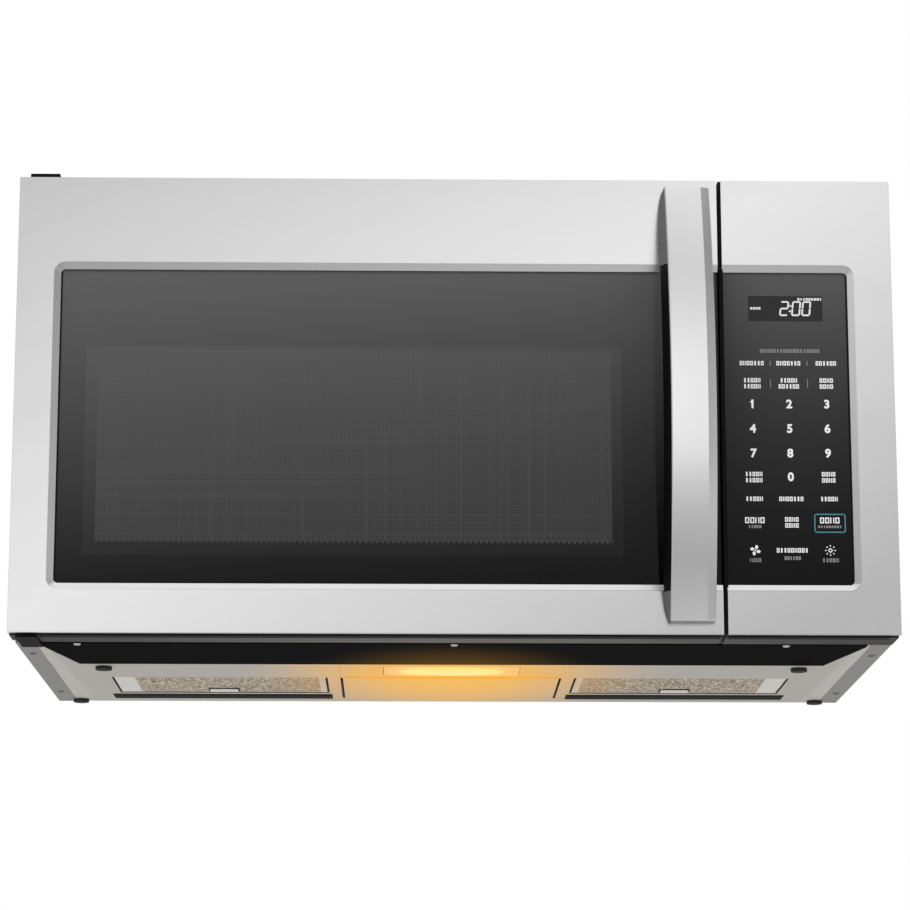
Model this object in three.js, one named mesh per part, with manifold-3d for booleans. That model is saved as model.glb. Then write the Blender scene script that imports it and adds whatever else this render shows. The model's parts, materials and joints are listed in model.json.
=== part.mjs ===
// Over-the-range microwave oven with a vent hood in its underside.
// Millimetres, +Z up. The front faces -Y and the oven stands on four feet at z = 0.
import * as THREE from 'three';
import { mergeVertices } from 'three/addons/utils/BufferGeometryUtils.js';
import Module from 'manifold-3d';

const wasm = await Module();
wasm.setup();

// ---------------------------------------------------------------- sizes
// Clearances
const CLEAR = 0.3; // air between two pieces that touch
const RUNNING = 0.4; // round a pin or a shaft that turns

// Front: a door on the left and a control panel on the right
const WIDTH = 759;
const FRONT_HEIGHT = 403;
const FRONT_LIFT = 0.5; // front's lower edge above the underside
const FRONT_DEPTH = 48;
const CONTROL_WIDTH = 147.6;
const SPLIT = 3.5; // slot between the door and the control panel
const SKIN = 1.5; // stainless sheet
const SKIN_RIM = 14; // skin's turned edge, front to back
const HOUSING_WALL = 3; // black plastic behind the skins

// Recess that carries the glass, one rectangle across both halves of the front
const BAND_LEFT = 31.6;
const BAND_RIGHT = 32.5;
const BAND_TOP = 76.6;
const BAND_BOTTOM = 37.3;
const BEVEL = 6; // width of the sloping edge
const RECESS = 5; // depth of the glass behind the skin
const RECESS_CORNER = 10;
const GLASS = 3.2;
const GLASS_HIDDEN = 3; // glass edge behind the bevel
const SCREEN = 1;

// Window in the door
const WINDOW_LEFT = 60.9; // from the door's left edge
const WINDOW_RIGHT = 84.4; // from the door's right edge
const WINDOW_BOTTOM = 68.1; // from the door's lower edge
const WINDOW_TOP = 150.6; // from the door's upper edge
const WINDOW_LIP = 5; // frame round the inner pane
const PANE = 2;

// Handle: a flat bar bowed forwards, on two posts
const HANDLE_WIDTH = 39;
const HANDLE_THICKNESS = 10;
const HANDLE_REACH = 48; // front of the bar from the door's face, at mid height
const HANDLE_BOW = 37; // how much less the ends reach
const HANDLE_EDGE = 7.8; // bar's right edge from the door's right edge
const HANDLE_DROP = 9.2; // bar's top below the door's top
const HANDLE_RISE = 9.8; // bar's lower end above the door's lower edge
const HANDLE_CHAMFER = 7.5;
const HANDLE_CHAMFER_DEPTH = 3.5;
const HANDLE_STEPS = 16;
const POST_RADIUS = 6;
const POST_INSET = 17; // post's centre from the bar's end

// Door hinges
const HINGE_IN = 14.5; // pin from the door's left edge
const HINGE_BACK = 20; // pin from the door's face
const HINGE_PIN = 4;
const HINGE_PIN_DEPTH = 11;
const HINGE_GAP = 1; // bracket above the door
const HINGE_PLATE = 4;
const HINGE_WIDTH = 25.4;
const HINGE_OUTER = 6; // bracket's edge outside the pin
const HINGE_FOOT = 28; // bracket's length on the cabinet
const LOWER_PLATE = 1.5;
const LOWER_WIDTH = 18;
const LOWER_FOOT = 12;
const HINGE_CHAMFER = 8; // door's back corner by the hinge

// Latch: a sprung slider in the door with two hooks
const LATCH_IN = 20; // hooks from the door's right edge
const HOOK_LOW = 95; // above the door's lower edge
const HOOK_HIGH = 275;
const HOOK_WIDTH = 6;
const HOOK_HEIGHT = 12;
const HOOK_REACH = 14; // behind the front plate
const HOOK_NOSE = 4;
const HOOK_TRAVEL = 4;
const HOOK_SWING = 2.5; // side room while the door swings
const SLIDER_WIDTH = 14;
const SLIDER_DEPTH = 9;
const SLIDER_OVER = 20; // slider past its hooks

// Cabinet
const DEPTH = 385; // front face to back
const SHEET = 1.2;
const CABINET_INSET = 1; // cabinet's sides behind the front's edges
const DOOR_GAP = 2; // between the door's back and the cabinet
const TOP_DROP = 3.5; // cabinet's top below the front's top
const FLANGE = 16.3; // cabinet's lower edges turned under
const PLENUM = 25; // vent air space above the underside
const SIDE_DUCT = 32; // vent air space beside the oven
const REAR_AIR = 16;
const WALL_SLOT_WIDTH = 30;
const WALL_SLOT_HEIGHT = 8;
const WALL_SLOT_OUT = 250; // from the middle
const WALL_SLOT_UP = 24;

// Underside
const FOOT_HEIGHT = 3;
const FOOT_RADIUS = 7.5;
const FRONT_FOOT_OUT = 315;
const FRONT_FOOT_BACK = 177;
const REAR_FOOT_IN = 4.5; // rear foot's centre from the pan's side
const REAR_FOOT_FORE = 12; // rear foot's centre from the back
const AIR_PANEL_BACK = 161.5;
const AIR_PANEL_INSET = 2.5;
const AIR_PANEL_CORNER = 24;
const AIR_PANEL_THICKNESS = 2.5;
const AIR_PANEL_RIM = 16;
const PAN_RIM = 14;
const FILTER_WIDTH = 199;
const FILTER_DEPTH = 88;
const FILTER_FRONT = 237;
const FILTER_OUT = 114.5; // inner edge from the middle
const FILTER_HEIGHT = 8;
const FILTER_SUNK = 0.5;
const FILTER_FRAME = 6;
const FILTER_MESH = 4;
const TAB_WIDTH = 25;
const TAB_DEPTH = 23;
const TAB_THICKNESS = 1.2;
const FINGER_SLOT_BACK = 14; // behind the filter
const FINGER_SLOT_DEPTH = 18;
const COVER_HALF = 102;
const COVER_FRONT = 165;
const COVER_BACK = 358;
const LENS_WIDTH = 124;
const LENS_DEPTH = 51;
const LENS_FRONT = 174;
const LENS_THICKNESS = 2;
const LENS_GAP = 0.5;
const BULB_RADIUS = 8;
const BULB_LENGTH = 42;
const HOLDER_SIZE = 20;
const HOLDER_OUT = 34; // holder's centre from the middle

// Oven
const MOUTH_MARGIN = 33; // between the mouth and the latch hooks
const STEM = 4; // turntable shaft's radius
const STEM_DEPTH = 13;
const STEM_HOLE = 7;
const TURN_MOTOR_HEIGHT = 31.5;
const TURN_MOTOR_RADIUS = 25;
const TRAY_AIR = 9; // between the tray's rim and the oven's walls
const TRAY = 4.5;
const TRAY_RIM = 3.5;
const RING_INSET = 49.55; // ring's middle inside the tray's rim
const RING_WIDTH = 10;
const RING_HEIGHT = 5;
const ROLLERS = 3;
const ROLLER_RADIUS = 7.5;
const ROLLER_WIDTH = 9;
const ROLLER_OUT = 13; // roller's middle outside the ring's middle
const AXLE = 2.2;
const COUPLER_HUB = 10;
const COUPLER_ARM = 24;
const COUPLER_ARM_WIDTH = 8;
const LUG_OUT = 18;
const LUG_RADIUS = 4;
const LUG_DROP = 4;

// Microwave parts in the right-hand compartment
const GUIDE_DEPTH = 38;
const GUIDE_WIDTH = 100;
const GUIDE_HEIGHT = 70;
const GUIDE_UP = 35; // above the oven's mid height
const PORT_WIDTH = 80;
const PORT_HEIGHT = 48;
const MICA = 0.8;
const MICA_OVER = 8;
const YOKE_LENGTH = 62;
const YOKE_WIDTH = 84;
const YOKE_HEIGHT = 76;
const YOKE_WALL = 2;
const ANODE_RADIUS = 19;
const ANTENNA_RADIUS = 9;
const ANTENNA_LENGTH = 22;
const FINS = 5;
const FIN = 1.5;
const CORE_WIDTH = 100;
const CORE_DEPTH = 62;
const CORE_HEIGHT = 82;
const WINDING_WIDTH = 70;
const WINDING_DEPTH = 104;
const WINDING_HEIGHT = 50;
const CORE_BACK = 275;
const CAN_RADIUS = 17;
const CAN_SPREAD = 20;
const CAN_HEIGHT = 88;
const CAN_BACK = 125;
const FAN_SIZE = 118;
const FAN_DEPTH = 38;
const FAN_BORE = 52;
const FAN_BLADES = 5;
const FAN_BLADE_TIP = 49;
const FAN_HUB = 15;
const FAN_HUB_LENGTH = 13;
const FAN_SHAFT = 3;
const FAN_MOTOR_RADIUS = 20;
const FAN_MOTOR_LENGTH = 15;
const LATCH_BOARD = 2.5;
const LATCH_BOARD_DEPTH = 28;
const LATCH_BOARD_OUT = 8; // from the hooks' middle
const SWITCH_WIDTH = 10;
const SWITCH_DEPTH = 22;
const SWITCH_HEIGHT = 16;

// Control panel
const BOARD = 1.6;
const BOARD_BACK = 24; // board's front face behind the front
const BOARD_MARGIN = 14;
const BOARD_LOW = 60;
const BOARD_DROP = 68; // board's top below the panel's top
const BOARD_PARTS_DEPTH = 15;
const RELAY_WIDTH = 30;
const RELAY_HEIGHT = 24;
const RELAY_UP = 120; // above the board's lower edge
const SUPPLY_WIDTH = 44;
const SUPPLY_HEIGHT = 36;
const SUPPLY_UP = 60;
const BOSS_RADIUS = 4;
const DISPLAY_WIDTH = 64.8;
const DISPLAY_HEIGHT = 22.7;
const DISPLAY_LEFT = 22.8; // from the panel's left edge
const DISPLAY_DROP = 103.1; // display's top below the panel's top

// Vent blower above the oven
const BLOWER_BACK = 290; // shaft from the front
const BLOWER_LIFT = 5; // housing above the oven
const SCROLL_RADIUS = 46;
const SCROLL_IN = 50; // inner wall from the middle
const SCROLL_OUT = 126;
const SCROLL_WALL = 1.5;
const SCROLL_HEADROOM = 10.9; // round of the housing below the cabinet's top sheet
const SCROLL_OUTLET = 30; // outlet's back edge behind the shaft
const INLET_RADIUS = 31;
const WHEEL_RADIUS = 41;
const WHEEL_WALL = 3;
const WHEEL_HUB = 9;
const WHEEL_AIR = 4; // wheel's ends to the housing's walls
const VENT_SHAFT = 4;
const VENT_MOTOR_RADIUS = 34;
const VENT_MOTOR_END = 4; // motor's ends to the housing's walls
const CRADLE_DEPTH = 40;

// Exhaust collar and damper on the top
const EXHAUST_WIDTH = 254;
const EXHAUST_DEPTH = 84;
const COLLAR_WALL = 2.5;
const COLLAR_FLANGE = 8;
const COLLAR_HEIGHT = 6;
const FLAP = 1.2;
const FLAP_UP = 2.4; // flap's middle above the cabinet's top
const FLAP_EDGE = 1; // round the flap
const FLAP_PIN = 1.3;
const FLAP_PIN_IN = 3; // pin from the flap's back edge
const FLAP_PIN_LENGTH = 2;

// Cord gland in the top
const GLAND_RADIUS = 11;
const GLAND_BORE = 4.5;
const GLAND_FLANGE = 15;
const GLAND_SIDE = 60; // from the cabinet's right side
const GLAND_BACK = 40; // from the cabinet's back

// ---------------------------------------------------------------- places
const doorLeft = -WIDTH / 2;
const frontRight = WIDTH / 2;
const panelLeft = frontRight - CONTROL_WIDTH;
const doorRight = panelLeft - SPLIT;
const frontBottom = FOOT_HEIGHT + FRONT_LIFT;
const frontTop = frontBottom + FRONT_HEIGHT;
const glassFront = RECESS + CLEAR;
const glassBack = glassFront + GLASS;
const screenFront = glassBack + CLEAR;
const screenBack = screenFront + SCREEN;
const housingFront = SKIN_RIM + CLEAR;
const doorPlateFront = FRONT_DEPTH - HOUSING_WALL;
const latchX = doorRight - LATCH_IN;
const latchY = doorPlateFront - CLEAR;
const hingeX = doorLeft + HINGE_IN;

const cabinetSide = WIDTH / 2 - CABINET_INSET;
const innerSide = cabinetSide - SHEET;
const cabinetFront = FRONT_DEPTH + DOOR_GAP;
const insideFront = cabinetFront + SHEET + CLEAR;
const backFace = DEPTH - SHEET;
const insideBack = backFace - CLEAR;
const cabinetTop = frontTop - TOP_DROP;
const innerTop = cabinetTop - SHEET;
const flangeEdge = innerSide - FLANGE;
const panSide = flangeEdge - CLEAR;
const panTop = FOOT_HEIGHT + SHEET;
const chassisBottom = panTop + PLENUM;
const chassisTop = chassisBottom + SHEET;
const chassisSide = innerSide - SIDE_DUCT;

const turnMotorBottom = chassisTop + CLEAR;
const turnMotorTop = turnMotorBottom + TURN_MOTOR_HEIGHT;
const cavityFloor = turnMotorTop + CLEAR + SHEET;
const blowerZ = innerTop - SCROLL_HEADROOM - SCROLL_WALL - SCROLL_RADIUS;
const cavityTop = blowerZ - SCROLL_RADIUS - SCROLL_WALL - BLOWER_LIFT - SHEET;
const cavityLeft = -innerSide + SIDE_DUCT + SHEET;
const cavityRight = latchX - MOUTH_MARGIN;
const cavityBack = backFace - REAR_AIR - SHEET;
const turnX = (cavityLeft + cavityRight) / 2;
const turnY = (insideFront + cavityBack) / 2;
const trayRadius = (cavityBack - insideFront) / 2 - TRAY_AIR;
const ringRadius = trayRadius - RING_INSET;
const rollerZ = cavityFloor + CLEAR + ROLLER_RADIUS;
const trayBottom = rollerZ + ROLLER_RADIUS + CLEAR;

const guideX = cavityRight + SHEET + CLEAR;
const guideZ = (cavityFloor + cavityTop) / 2 + GUIDE_UP;
const yokeX = guideX + GUIDE_DEPTH + CLEAR;
const fanX = yokeX + YOKE_LENGTH / 2;
const compartmentX = (cavityRight + SHEET + chassisSide) / 2;

const scrollTop = innerTop - CLEAR;
const exhaustFront = BLOWER_BACK - SCROLL_RADIUS;
const flapZ = cabinetTop + FLAP_UP;

// ---------------------------------------------------------------- solids
const FINE = 32; // sides of a large round
const COARSE = 16; // sides of a small round

// A closed three.js geometry as a solid that can be joined and cut.
function solid(geometry) {
  const bare = geometry.clone();
  bare.deleteAttribute('normal');
  bare.deleteAttribute('uv');
  const merged = mergeVertices(bare, 1e-4);
  return new wasm.Manifold(new wasm.Mesh({
    numProp: 3,
    vertProperties: Float32Array.from(merged.attributes.position.array),
    triVerts: Uint32Array.from(merged.index.array),
  }));
}

function block([x0, x1], [y0, y1], [z0, z1]) {
  const box = new THREE.BoxGeometry(x1 - x0, y1 - y0, z1 - z0);
  box.translate((x0 + x1) / 2, (y0 + y1) / 2, (z0 + z1) / 2);
  return solid(box);
}

// A block given by its middle and its size along each axis.
function brick([x, y, z], [width, depth, height]) {
  return block(
    [x - width / 2, x + width / 2],
    [y - depth / 2, y + depth / 2],
    [z - height / 2, z + height / 2],
  );
}

// A round bar along one axis. The centre gives its place on the other two, in the order x, y, z.
function rod(axis, radius, [from, to], [u, v], sides = COARSE) {
  const bar = new THREE.CylinderGeometry(radius, radius, to - from, sides);
  const middle = (from + to) / 2;
  if (axis === 'x') {
    bar.rotateZ(Math.PI / 2);
    bar.translate(middle, u, v);
  }
  if (axis === 'y') {
    bar.translate(u, middle, v);
  }
  if (axis === 'z') {
    bar.rotateX(Math.PI / 2);
    bar.translate(u, v, middle);
  }
  return solid(bar);
}

// A closed body through rings of equally many points, anticlockwise as seen from its far end.
function loft(rings) {
  const count = rings[0].length;
  const positions = rings.flat().flatMap((point) => point.toArray());
  const index = [];
  for (let ring = 0; ring + 1 < rings.length; ring += 1) {
    for (let i = 0; i < count; i += 1) {
      const a = ring * count + i;
      const b = ring * count + (i + 1) % count;
      index.push(a, b, b + count, a, b + count, a + count);
    }
  }
  const last = (rings.length - 1) * count;
  for (let i = 1; i + 1 < count; i += 1) {
    index.push(0, i + 1, i);
    index.push(last, last + i, last + i + 1);
  }
  const geometry = new THREE.BufferGeometry();
  geometry.setAttribute('position', new THREE.Float32BufferAttribute(positions, 3));
  geometry.setIndex(index);
  return solid(geometry);
}

// A solid of revolution about the vertical through x, y. The profile holds [radius, height] pairs.
function turned(profile, [x, y, z], sides = FINE) {
  const points = profile.map(([radius, height]) => new THREE.Vector2(radius, height));
  const lathe = new THREE.LatheGeometry(points, sides);
  lathe.rotateX(Math.PI / 2);
  lathe.translate(x, y, z);
  return solid(lathe);
}

// A flat plate with rounded corners, lying in the XY plane.
function roundedPlate([x0, x1], [y0, y1], [z0, z1], radius) {
  const shape = new THREE.Shape();
  shape.moveTo(x0, y0);
  shape.lineTo(x1, y0);
  shape.lineTo(x1, y1 - radius);
  shape.absarc(x1 - radius, y1 - radius, radius, 0, Math.PI / 2);
  shape.lineTo(x0 + radius, y1);
  shape.absarc(x0 + radius, y1 - radius, radius, Math.PI / 2, Math.PI);
  const plate = new THREE.ExtrudeGeometry(shape, { depth: z1 - z0, bevelEnabled: false, curveSegments: 5 });
  plate.translate(0, 0, z0);
  return solid(plate);
}

function union(parts) {
  return parts.reduce((whole, part) => whole.add(part));
}

function cut(whole, parts) {
  return parts.reduce((rest, part) => rest.subtract(part), whole);
}

function turnedAbout(whole, degrees, [x, y]) {
  return whole.translate([-x, -y, 0]).rotate([0, 0, degrees]).translate([x, y, 0]);
}

// ---------------------------------------------------------------- materials
function material(color, roughness, metalness = 0) {
  return new THREE.MeshStandardMaterial({ color, roughness, metalness, flatShading: true });
}

const stainless = material(0xc9c9c7, 0.35, 1);
const blackGlass = material(0x17181a, 0.12);
const clearPane = material(0x8a9194, 0.1);
const blackPlastic = material(0x1d1d1e, 0.55);
const paintedBlack = material(0x202022, 0.5);
const paintedPan = material(0xa5a29b, 0.5);
const darkSheet = material(0x4a4a4b, 0.45, 0.6);
const zincSheet = material(0xb4b6b6, 0.45, 0.8);
const enamel = material(0xb9b6ae, 0.35);
const meshMetal = material(0xb5aa94, 0.5, 0.7);
const rubber = material(0x1b1b1b, 0.85);
const trayGlass = material(0xb9c6c4, 0.08);
const whitePlastic = material(0xe4e2dc, 0.5);
const copper = material(0xa35d34, 0.45, 0.6);
const mica = material(0xb7a583, 0.7);
const boardGreen = material(0x1f5a3a, 0.6);
const lampGlass = material(0xffd27a, 0.35);

function mesh(name, shape, finish) {
  const found = shape.getMesh();
  const geometry = new THREE.BufferGeometry();
  geometry.setAttribute('position', new THREE.Float32BufferAttribute(found.vertProperties, 3));
  geometry.setIndex(Array.from(found.triVerts));
  const result = new THREE.Mesh(geometry, finish);
  result.name = name;
  return result;
}

function assembly(...children) {
  const group = new THREE.Group();
  group.add(...children);
  return group;
}

// ---------------------------------------------------------------- front skins and glass
// The recess outline, drawn in by inset, as a ring of points at depth y.
function recessRing(inset, y) {
  const x0 = doorLeft + BAND_LEFT + inset;
  const x1 = frontRight - BAND_RIGHT - inset;
  const z0 = frontBottom + BAND_BOTTOM + inset;
  const z1 = frontTop - BAND_TOP - inset;
  const radius = Math.max(RECESS_CORNER - inset, 1);
  const corners = [
    [x0 + radius, z0 + radius, Math.PI],
    [x1 - radius, z0 + radius, 1.5 * Math.PI],
    [x1 - radius, z1 - radius, 0],
    [x0 + radius, z1 - radius, 0.5 * Math.PI],
  ];
  const steps = 4;
  const ring = [];
  for (const [x, z, start] of corners) {
    for (let step = 0; step <= steps; step += 1) {
      const angle = start + (step / steps) * (Math.PI / 2);
      ring.push(new THREE.Vector3(x + radius * Math.cos(angle), y, z + radius * Math.sin(angle)));
    }
  }
  return ring.reverse();
}

const RECESS_SLOPE = BEVEL / RECESS;

// The space in front of the glass, flaring forwards, moved outwards by grow.
function recessSpace(grow) {
  const ahead = 1;
  return loft([
    recessRing(-ahead * RECESS_SLOPE - grow, -ahead),
    recessRing(BEVEL - grow, RECESS),
  ]);
}

function skin(x0, x1) {
  const z = [frontBottom, frontTop];
  const pan = block([x0, x1], [0, SKIN_RIM], z).subtract(
    block([x0 + SKIN, x1 - SKIN], [SKIN, SKIN_RIM + 1], [z[0] + SKIN, z[1] - SKIN]),
  );
  const opening = loft([recessRing(0, SKIN / 2), recessRing(0, SKIN_RIM + 1)]);
  const bevel = recessSpace(SKIN).subtract(recessSpace(0));
  const slope = bevel.intersect(block([x0, x1], [0, RECESS], z));
  return pan.subtract(opening).subtract(recessSpace(0)).add(slope);
}

// The part of the glass between x0 and x1.
function glass(x0, x1) {
  const inset = BEVEL - GLASS_HIDDEN;
  const whole = loft([recessRing(inset, glassFront), recessRing(inset, glassBack)]);
  return whole.intersect(block([x0, x1], [0, FRONT_DEPTH], [0, frontTop]));
}

const recessLow = frontBottom + BAND_BOTTOM + BEVEL;
const recessHigh = frontTop - BAND_TOP - BEVEL;
const recessZ = [recessLow, recessHigh];

// ---------------------------------------------------------------- door
const windowX = [doorLeft + WINDOW_LEFT, doorRight - WINDOW_RIGHT];
const windowZ = [frontBottom + WINDOW_BOTTOM, frontTop - WINDOW_TOP];

function grown([from, to], by) {
  return [from - by, to + by];
}

// The door's inner frame in plan, with its back corner by the hinge cut off.
function doorPlan(inset, front, back, z) {
  const x0 = doorLeft + inset;
  const x1 = doorRight - inset;
  const corner = HINGE_CHAMFER - inset * (2 - Math.SQRT2) + (back - FRONT_DEPTH + inset);
  const plan = [
    [x0, front],
    [x1, front],
    [x1, back],
    [x0 + corner, back],
    [x0, back - corner],
  ];
  return loft(z.map((height) => plan.map(([x, y]) => new THREE.Vector3(x, y, height))));
}

function doorInnerFrame() {
  const z = [frontBottom, frontTop];
  const body = doorPlan(0, housingFront, FRONT_DEPTH, z);
  const pocket = doorPlan(HOUSING_WALL, 0, doorPlateFront, grown(z, -HOUSING_WALL));
  const tube = block(grown(windowX, HOUSING_WALL), [screenBack + CLEAR, FRONT_DEPTH],
    grown(windowZ, HOUSING_WALL));
  const edge = block([doorRight - HOUSING_WALL, doorRight], [screenBack + CLEAR, FRONT_DEPTH], recessZ);
  const frame = body.subtract(pocket).add(tube).add(edge);
  const window = block(windowX, [0, doorPlateFront], windowZ);
  const lip = block(grown(windowX, -WINDOW_LIP), [0, FRONT_DEPTH + 1], grown(windowZ, -WINDOW_LIP));
  const pinHole = rod('z', HINGE_PIN + RUNNING, grown(z, 1), [hingeX, HINGE_BACK]);
  const hookHoles = [HOOK_LOW, HOOK_HIGH].map((up) => hookSpace(up, CLEAR, CLEAR, doorPlateFront - 1,
    FRONT_DEPTH + 1));
  return cut(frame, [window, lip, pinHole, ...hookHoles]);
}

// The space that one hook needs through a wall, with room at its sides and for its travel.
function hookSpace(up, side, room, y0, y1) {
  const bottom = frontBottom + up;
  return block(
    grown([latchX - HOOK_WIDTH / 2, latchX + HOOK_WIDTH / 2], side),
    [y0, y1],
    [bottom - HOOK_NOSE - room, bottom + HOOK_HEIGHT + HOOK_TRAVEL + room],
  );
}

function doorScreen() {
  return block(
    [doorLeft + BAND_LEFT + BEVEL, doorRight - SKIN],
    [screenFront, screenBack],
    recessZ,
  );
}

function innerPane() {
  return block(
    grown(windowX, -CLEAR),
    [doorPlateFront - CLEAR - PANE, doorPlateFront - CLEAR],
    grown(windowZ, -CLEAR),
  );
}

const handleRight = doorRight - HANDLE_EDGE;
const handleLeft = handleRight - HANDLE_WIDTH;
const handleTop = frontTop - HANDLE_DROP;
const handleBottom = frontBottom + HANDLE_RISE;
const handleMiddle = (handleTop + handleBottom) / 2;
const handleLength = handleTop - handleBottom;
const bowRadius = (handleLength ** 2 / 4 + HANDLE_BOW ** 2) / (2 * HANDLE_BOW);

// How far the bar's front stands ahead of the door's face at a height.
function handleReach(z) {
  const drop = bowRadius - Math.sqrt(bowRadius ** 2 - (z - handleMiddle) ** 2);
  return HANDLE_REACH - drop;
}

// The bowed bar as a body whose section is drawn at every height by outline(reach).
function bowed(outline) {
  const rings = [];
  for (let step = 0; step <= HANDLE_STEPS; step += 1) {
    const z = handleBottom + (step / HANDLE_STEPS) * handleLength;
    rings.push(outline(handleReach(z)).map(([x, y]) => new THREE.Vector3(x, y, z)));
  }
  return loft(rings);
}

function doorHandle() {
  return bowed((reach) => [
    [handleLeft, HANDLE_THICKNESS - reach],
    [handleLeft, 1 - reach],
    [handleLeft + 1, -reach],
    [handleRight - HANDLE_CHAMFER, -reach],
    [handleRight, HANDLE_CHAMFER_DEPTH - reach],
    [handleRight, HANDLE_THICKNESS - reach],
  ]);
}

// A post from the door's face to the back of the bar.
function handlePost(z) {
  const x = (handleLeft + handleRight) / 2;
  const ahead = bowed((reach) => [
    [handleLeft, HANDLE_THICKNESS + CLEAR - reach],
    [handleLeft, -2 * HANDLE_REACH],
    [handleRight, -2 * HANDLE_REACH],
    [handleRight, HANDLE_THICKNESS + CLEAR - reach],
  ]);
  return rod('y', POST_RADIUS, [-HANDLE_REACH, -CLEAR], [x, z]).subtract(ahead);
}

function latchSlider() {
  const z = [frontBottom + HOOK_LOW - SLIDER_OVER, frontBottom + HOOK_HIGH + SLIDER_OVER];
  const bar = block(
    [latchX - SLIDER_WIDTH / 2, latchX + SLIDER_WIDTH / 2],
    [latchY - SLIDER_DEPTH, latchY],
    z,
  );
  const end = insideFront + HOOK_REACH;
  const hooks = [HOOK_LOW, HOOK_HIGH].map((up) => {
    const bottom = frontBottom + up;
    const x = [latchX - HOOK_WIDTH / 2, latchX + HOOK_WIDTH / 2];
    const arm = block(x, [latchY - 1, end], [bottom, bottom + HOOK_HEIGHT]);
    const nose = block(x, [end - HOOK_NOSE, end], [bottom - HOOK_NOSE, bottom + 1]);
    return arm.add(nose);
  });
  return union([bar, ...hooks]);
}

function door() {
  return assembly(
    mesh('door_skin', skin(doorLeft, doorRight), stainless),
    mesh('door_glass', glass(doorLeft, doorRight), blackGlass),
    mesh('door_screen', doorScreen(), paintedBlack),
    mesh('door_inner_frame', doorInnerFrame(), blackPlastic),
    mesh('door_inner_pane', innerPane(), clearPane),
    mesh('door_handle', doorHandle(), stainless),
    mesh('handle_post_upper', handlePost(handleTop - POST_INSET), blackPlastic),
    mesh('handle_post_lower', handlePost(handleBottom + POST_INSET), blackPlastic),
    mesh('latch_slider', latchSlider(), whitePlastic),
  );
}

// ---------------------------------------------------------------- door hinges
function upperHinge() {
  const x = [hingeX - HINGE_OUTER, hingeX - HINGE_OUTER + HINGE_WIDTH];
  const plateBottom = frontTop + HINGE_GAP;
  const plateTop = plateBottom + HINGE_PLATE;
  const back = cabinetFront + HINGE_FOOT;
  const plate = block(x, [HINGE_BACK - 2 * HINGE_PIN - 6, back], [plateBottom, plateTop]);
  const foot = block(x, [cabinetFront, back], [cabinetTop + CLEAR, plateTop]);
  const pin = rod('z', HINGE_PIN, [frontTop - HINGE_PIN_DEPTH, plateTop - 1], [hingeX, HINGE_BACK]);
  return union([plate, foot, pin]);
}

function lowerHinge() {
  const plateTop = FOOT_HEIGHT - CLEAR;
  const plate = block(
    [hingeX - LOWER_WIDTH / 2, hingeX + LOWER_WIDTH / 2],
    [HINGE_BACK - LOWER_WIDTH / 2, cabinetFront + LOWER_FOOT],
    [plateTop - LOWER_PLATE, plateTop],
  );
  const pin = rod('z', HINGE_PIN, [plateTop - 1, frontBottom + HINGE_PIN_DEPTH], [hingeX, HINGE_BACK]);
  return plate.add(pin);
}

// ---------------------------------------------------------------- control panel
function controlHousing() {
  const z = [frontBottom, frontTop];
  const back = cabinetFront - CLEAR;
  const body = block([panelLeft, frontRight], [housingFront, back], z);
  const pocket = block(
    grown([panelLeft, frontRight], -HOUSING_WALL),
    [0, back - HOUSING_WALL],
    grown(z, -HOUSING_WALL),
  );
  const edge = block([panelLeft, panelLeft + HOUSING_WALL], [glassBack + CLEAR, back], recessZ);
  const bosses = boardCorners().map((corner) => rod('y', BOSS_RADIUS,
    [BOARD_BACK + BOARD + CLEAR, back - HOUSING_WALL / 2], corner, 8));
  return union([body.subtract(pocket), edge, ...bosses]);
}

const boardX = grown([panelLeft, frontRight], -BOARD_MARGIN);
const boardZ = [frontBottom + BOARD_LOW, frontTop - BOARD_DROP];

function boardCorners() {
  const x = grown(boardX, -2 * BOSS_RADIUS);
  const z = grown(boardZ, -2 * BOSS_RADIUS);
  return [[x[0], z[0]], [x[1], z[0]], [x[1], z[1]], [x[0], z[1]]];
}

function controlBoard() {
  const board = block(boardX, [BOARD_BACK, BOARD_BACK + BOARD], boardZ);
  const middle = (boardX[0] + boardX[1]) / 2;
  const y = BOARD_BACK + (BOARD + BOARD_PARTS_DEPTH) / 2;
  const relay = brick([middle, y, boardZ[0] + RELAY_UP], [RELAY_WIDTH, BOARD_PARTS_DEPTH, RELAY_HEIGHT]);
  const supply = brick([middle, y, boardZ[0] + SUPPLY_UP],
    [SUPPLY_WIDTH, BOARD_PARTS_DEPTH, SUPPLY_HEIGHT]);
  return union([board, relay, supply]);
}

function displayModule() {
  return block(
    [panelLeft + DISPLAY_LEFT, panelLeft + DISPLAY_LEFT + DISPLAY_WIDTH],
    [glassBack + CLEAR, BOARD_BACK - CLEAR],
    [frontTop - DISPLAY_DROP - DISPLAY_HEIGHT, frontTop - DISPLAY_DROP],
  );
}

function controlPanel() {
  return assembly(
    mesh('control_skin', skin(panelLeft, frontRight), stainless),
    mesh('control_glass', glass(panelLeft, frontRight), blackGlass),
    mesh('control_housing', controlHousing(), blackPlastic),
    mesh('control_board', controlBoard(), boardGreen),
    mesh('display_module', displayModule(), blackPlastic),
  );
}

// ---------------------------------------------------------------- cabinet
const glandX = cabinetSide - GLAND_SIDE;
const glandY = DEPTH - GLAND_BACK;
const exhaustX = [-EXHAUST_WIDTH / 2, EXHAUST_WIDTH / 2];
const exhaustY = [exhaustFront, exhaustFront + EXHAUST_DEPTH];

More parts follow.
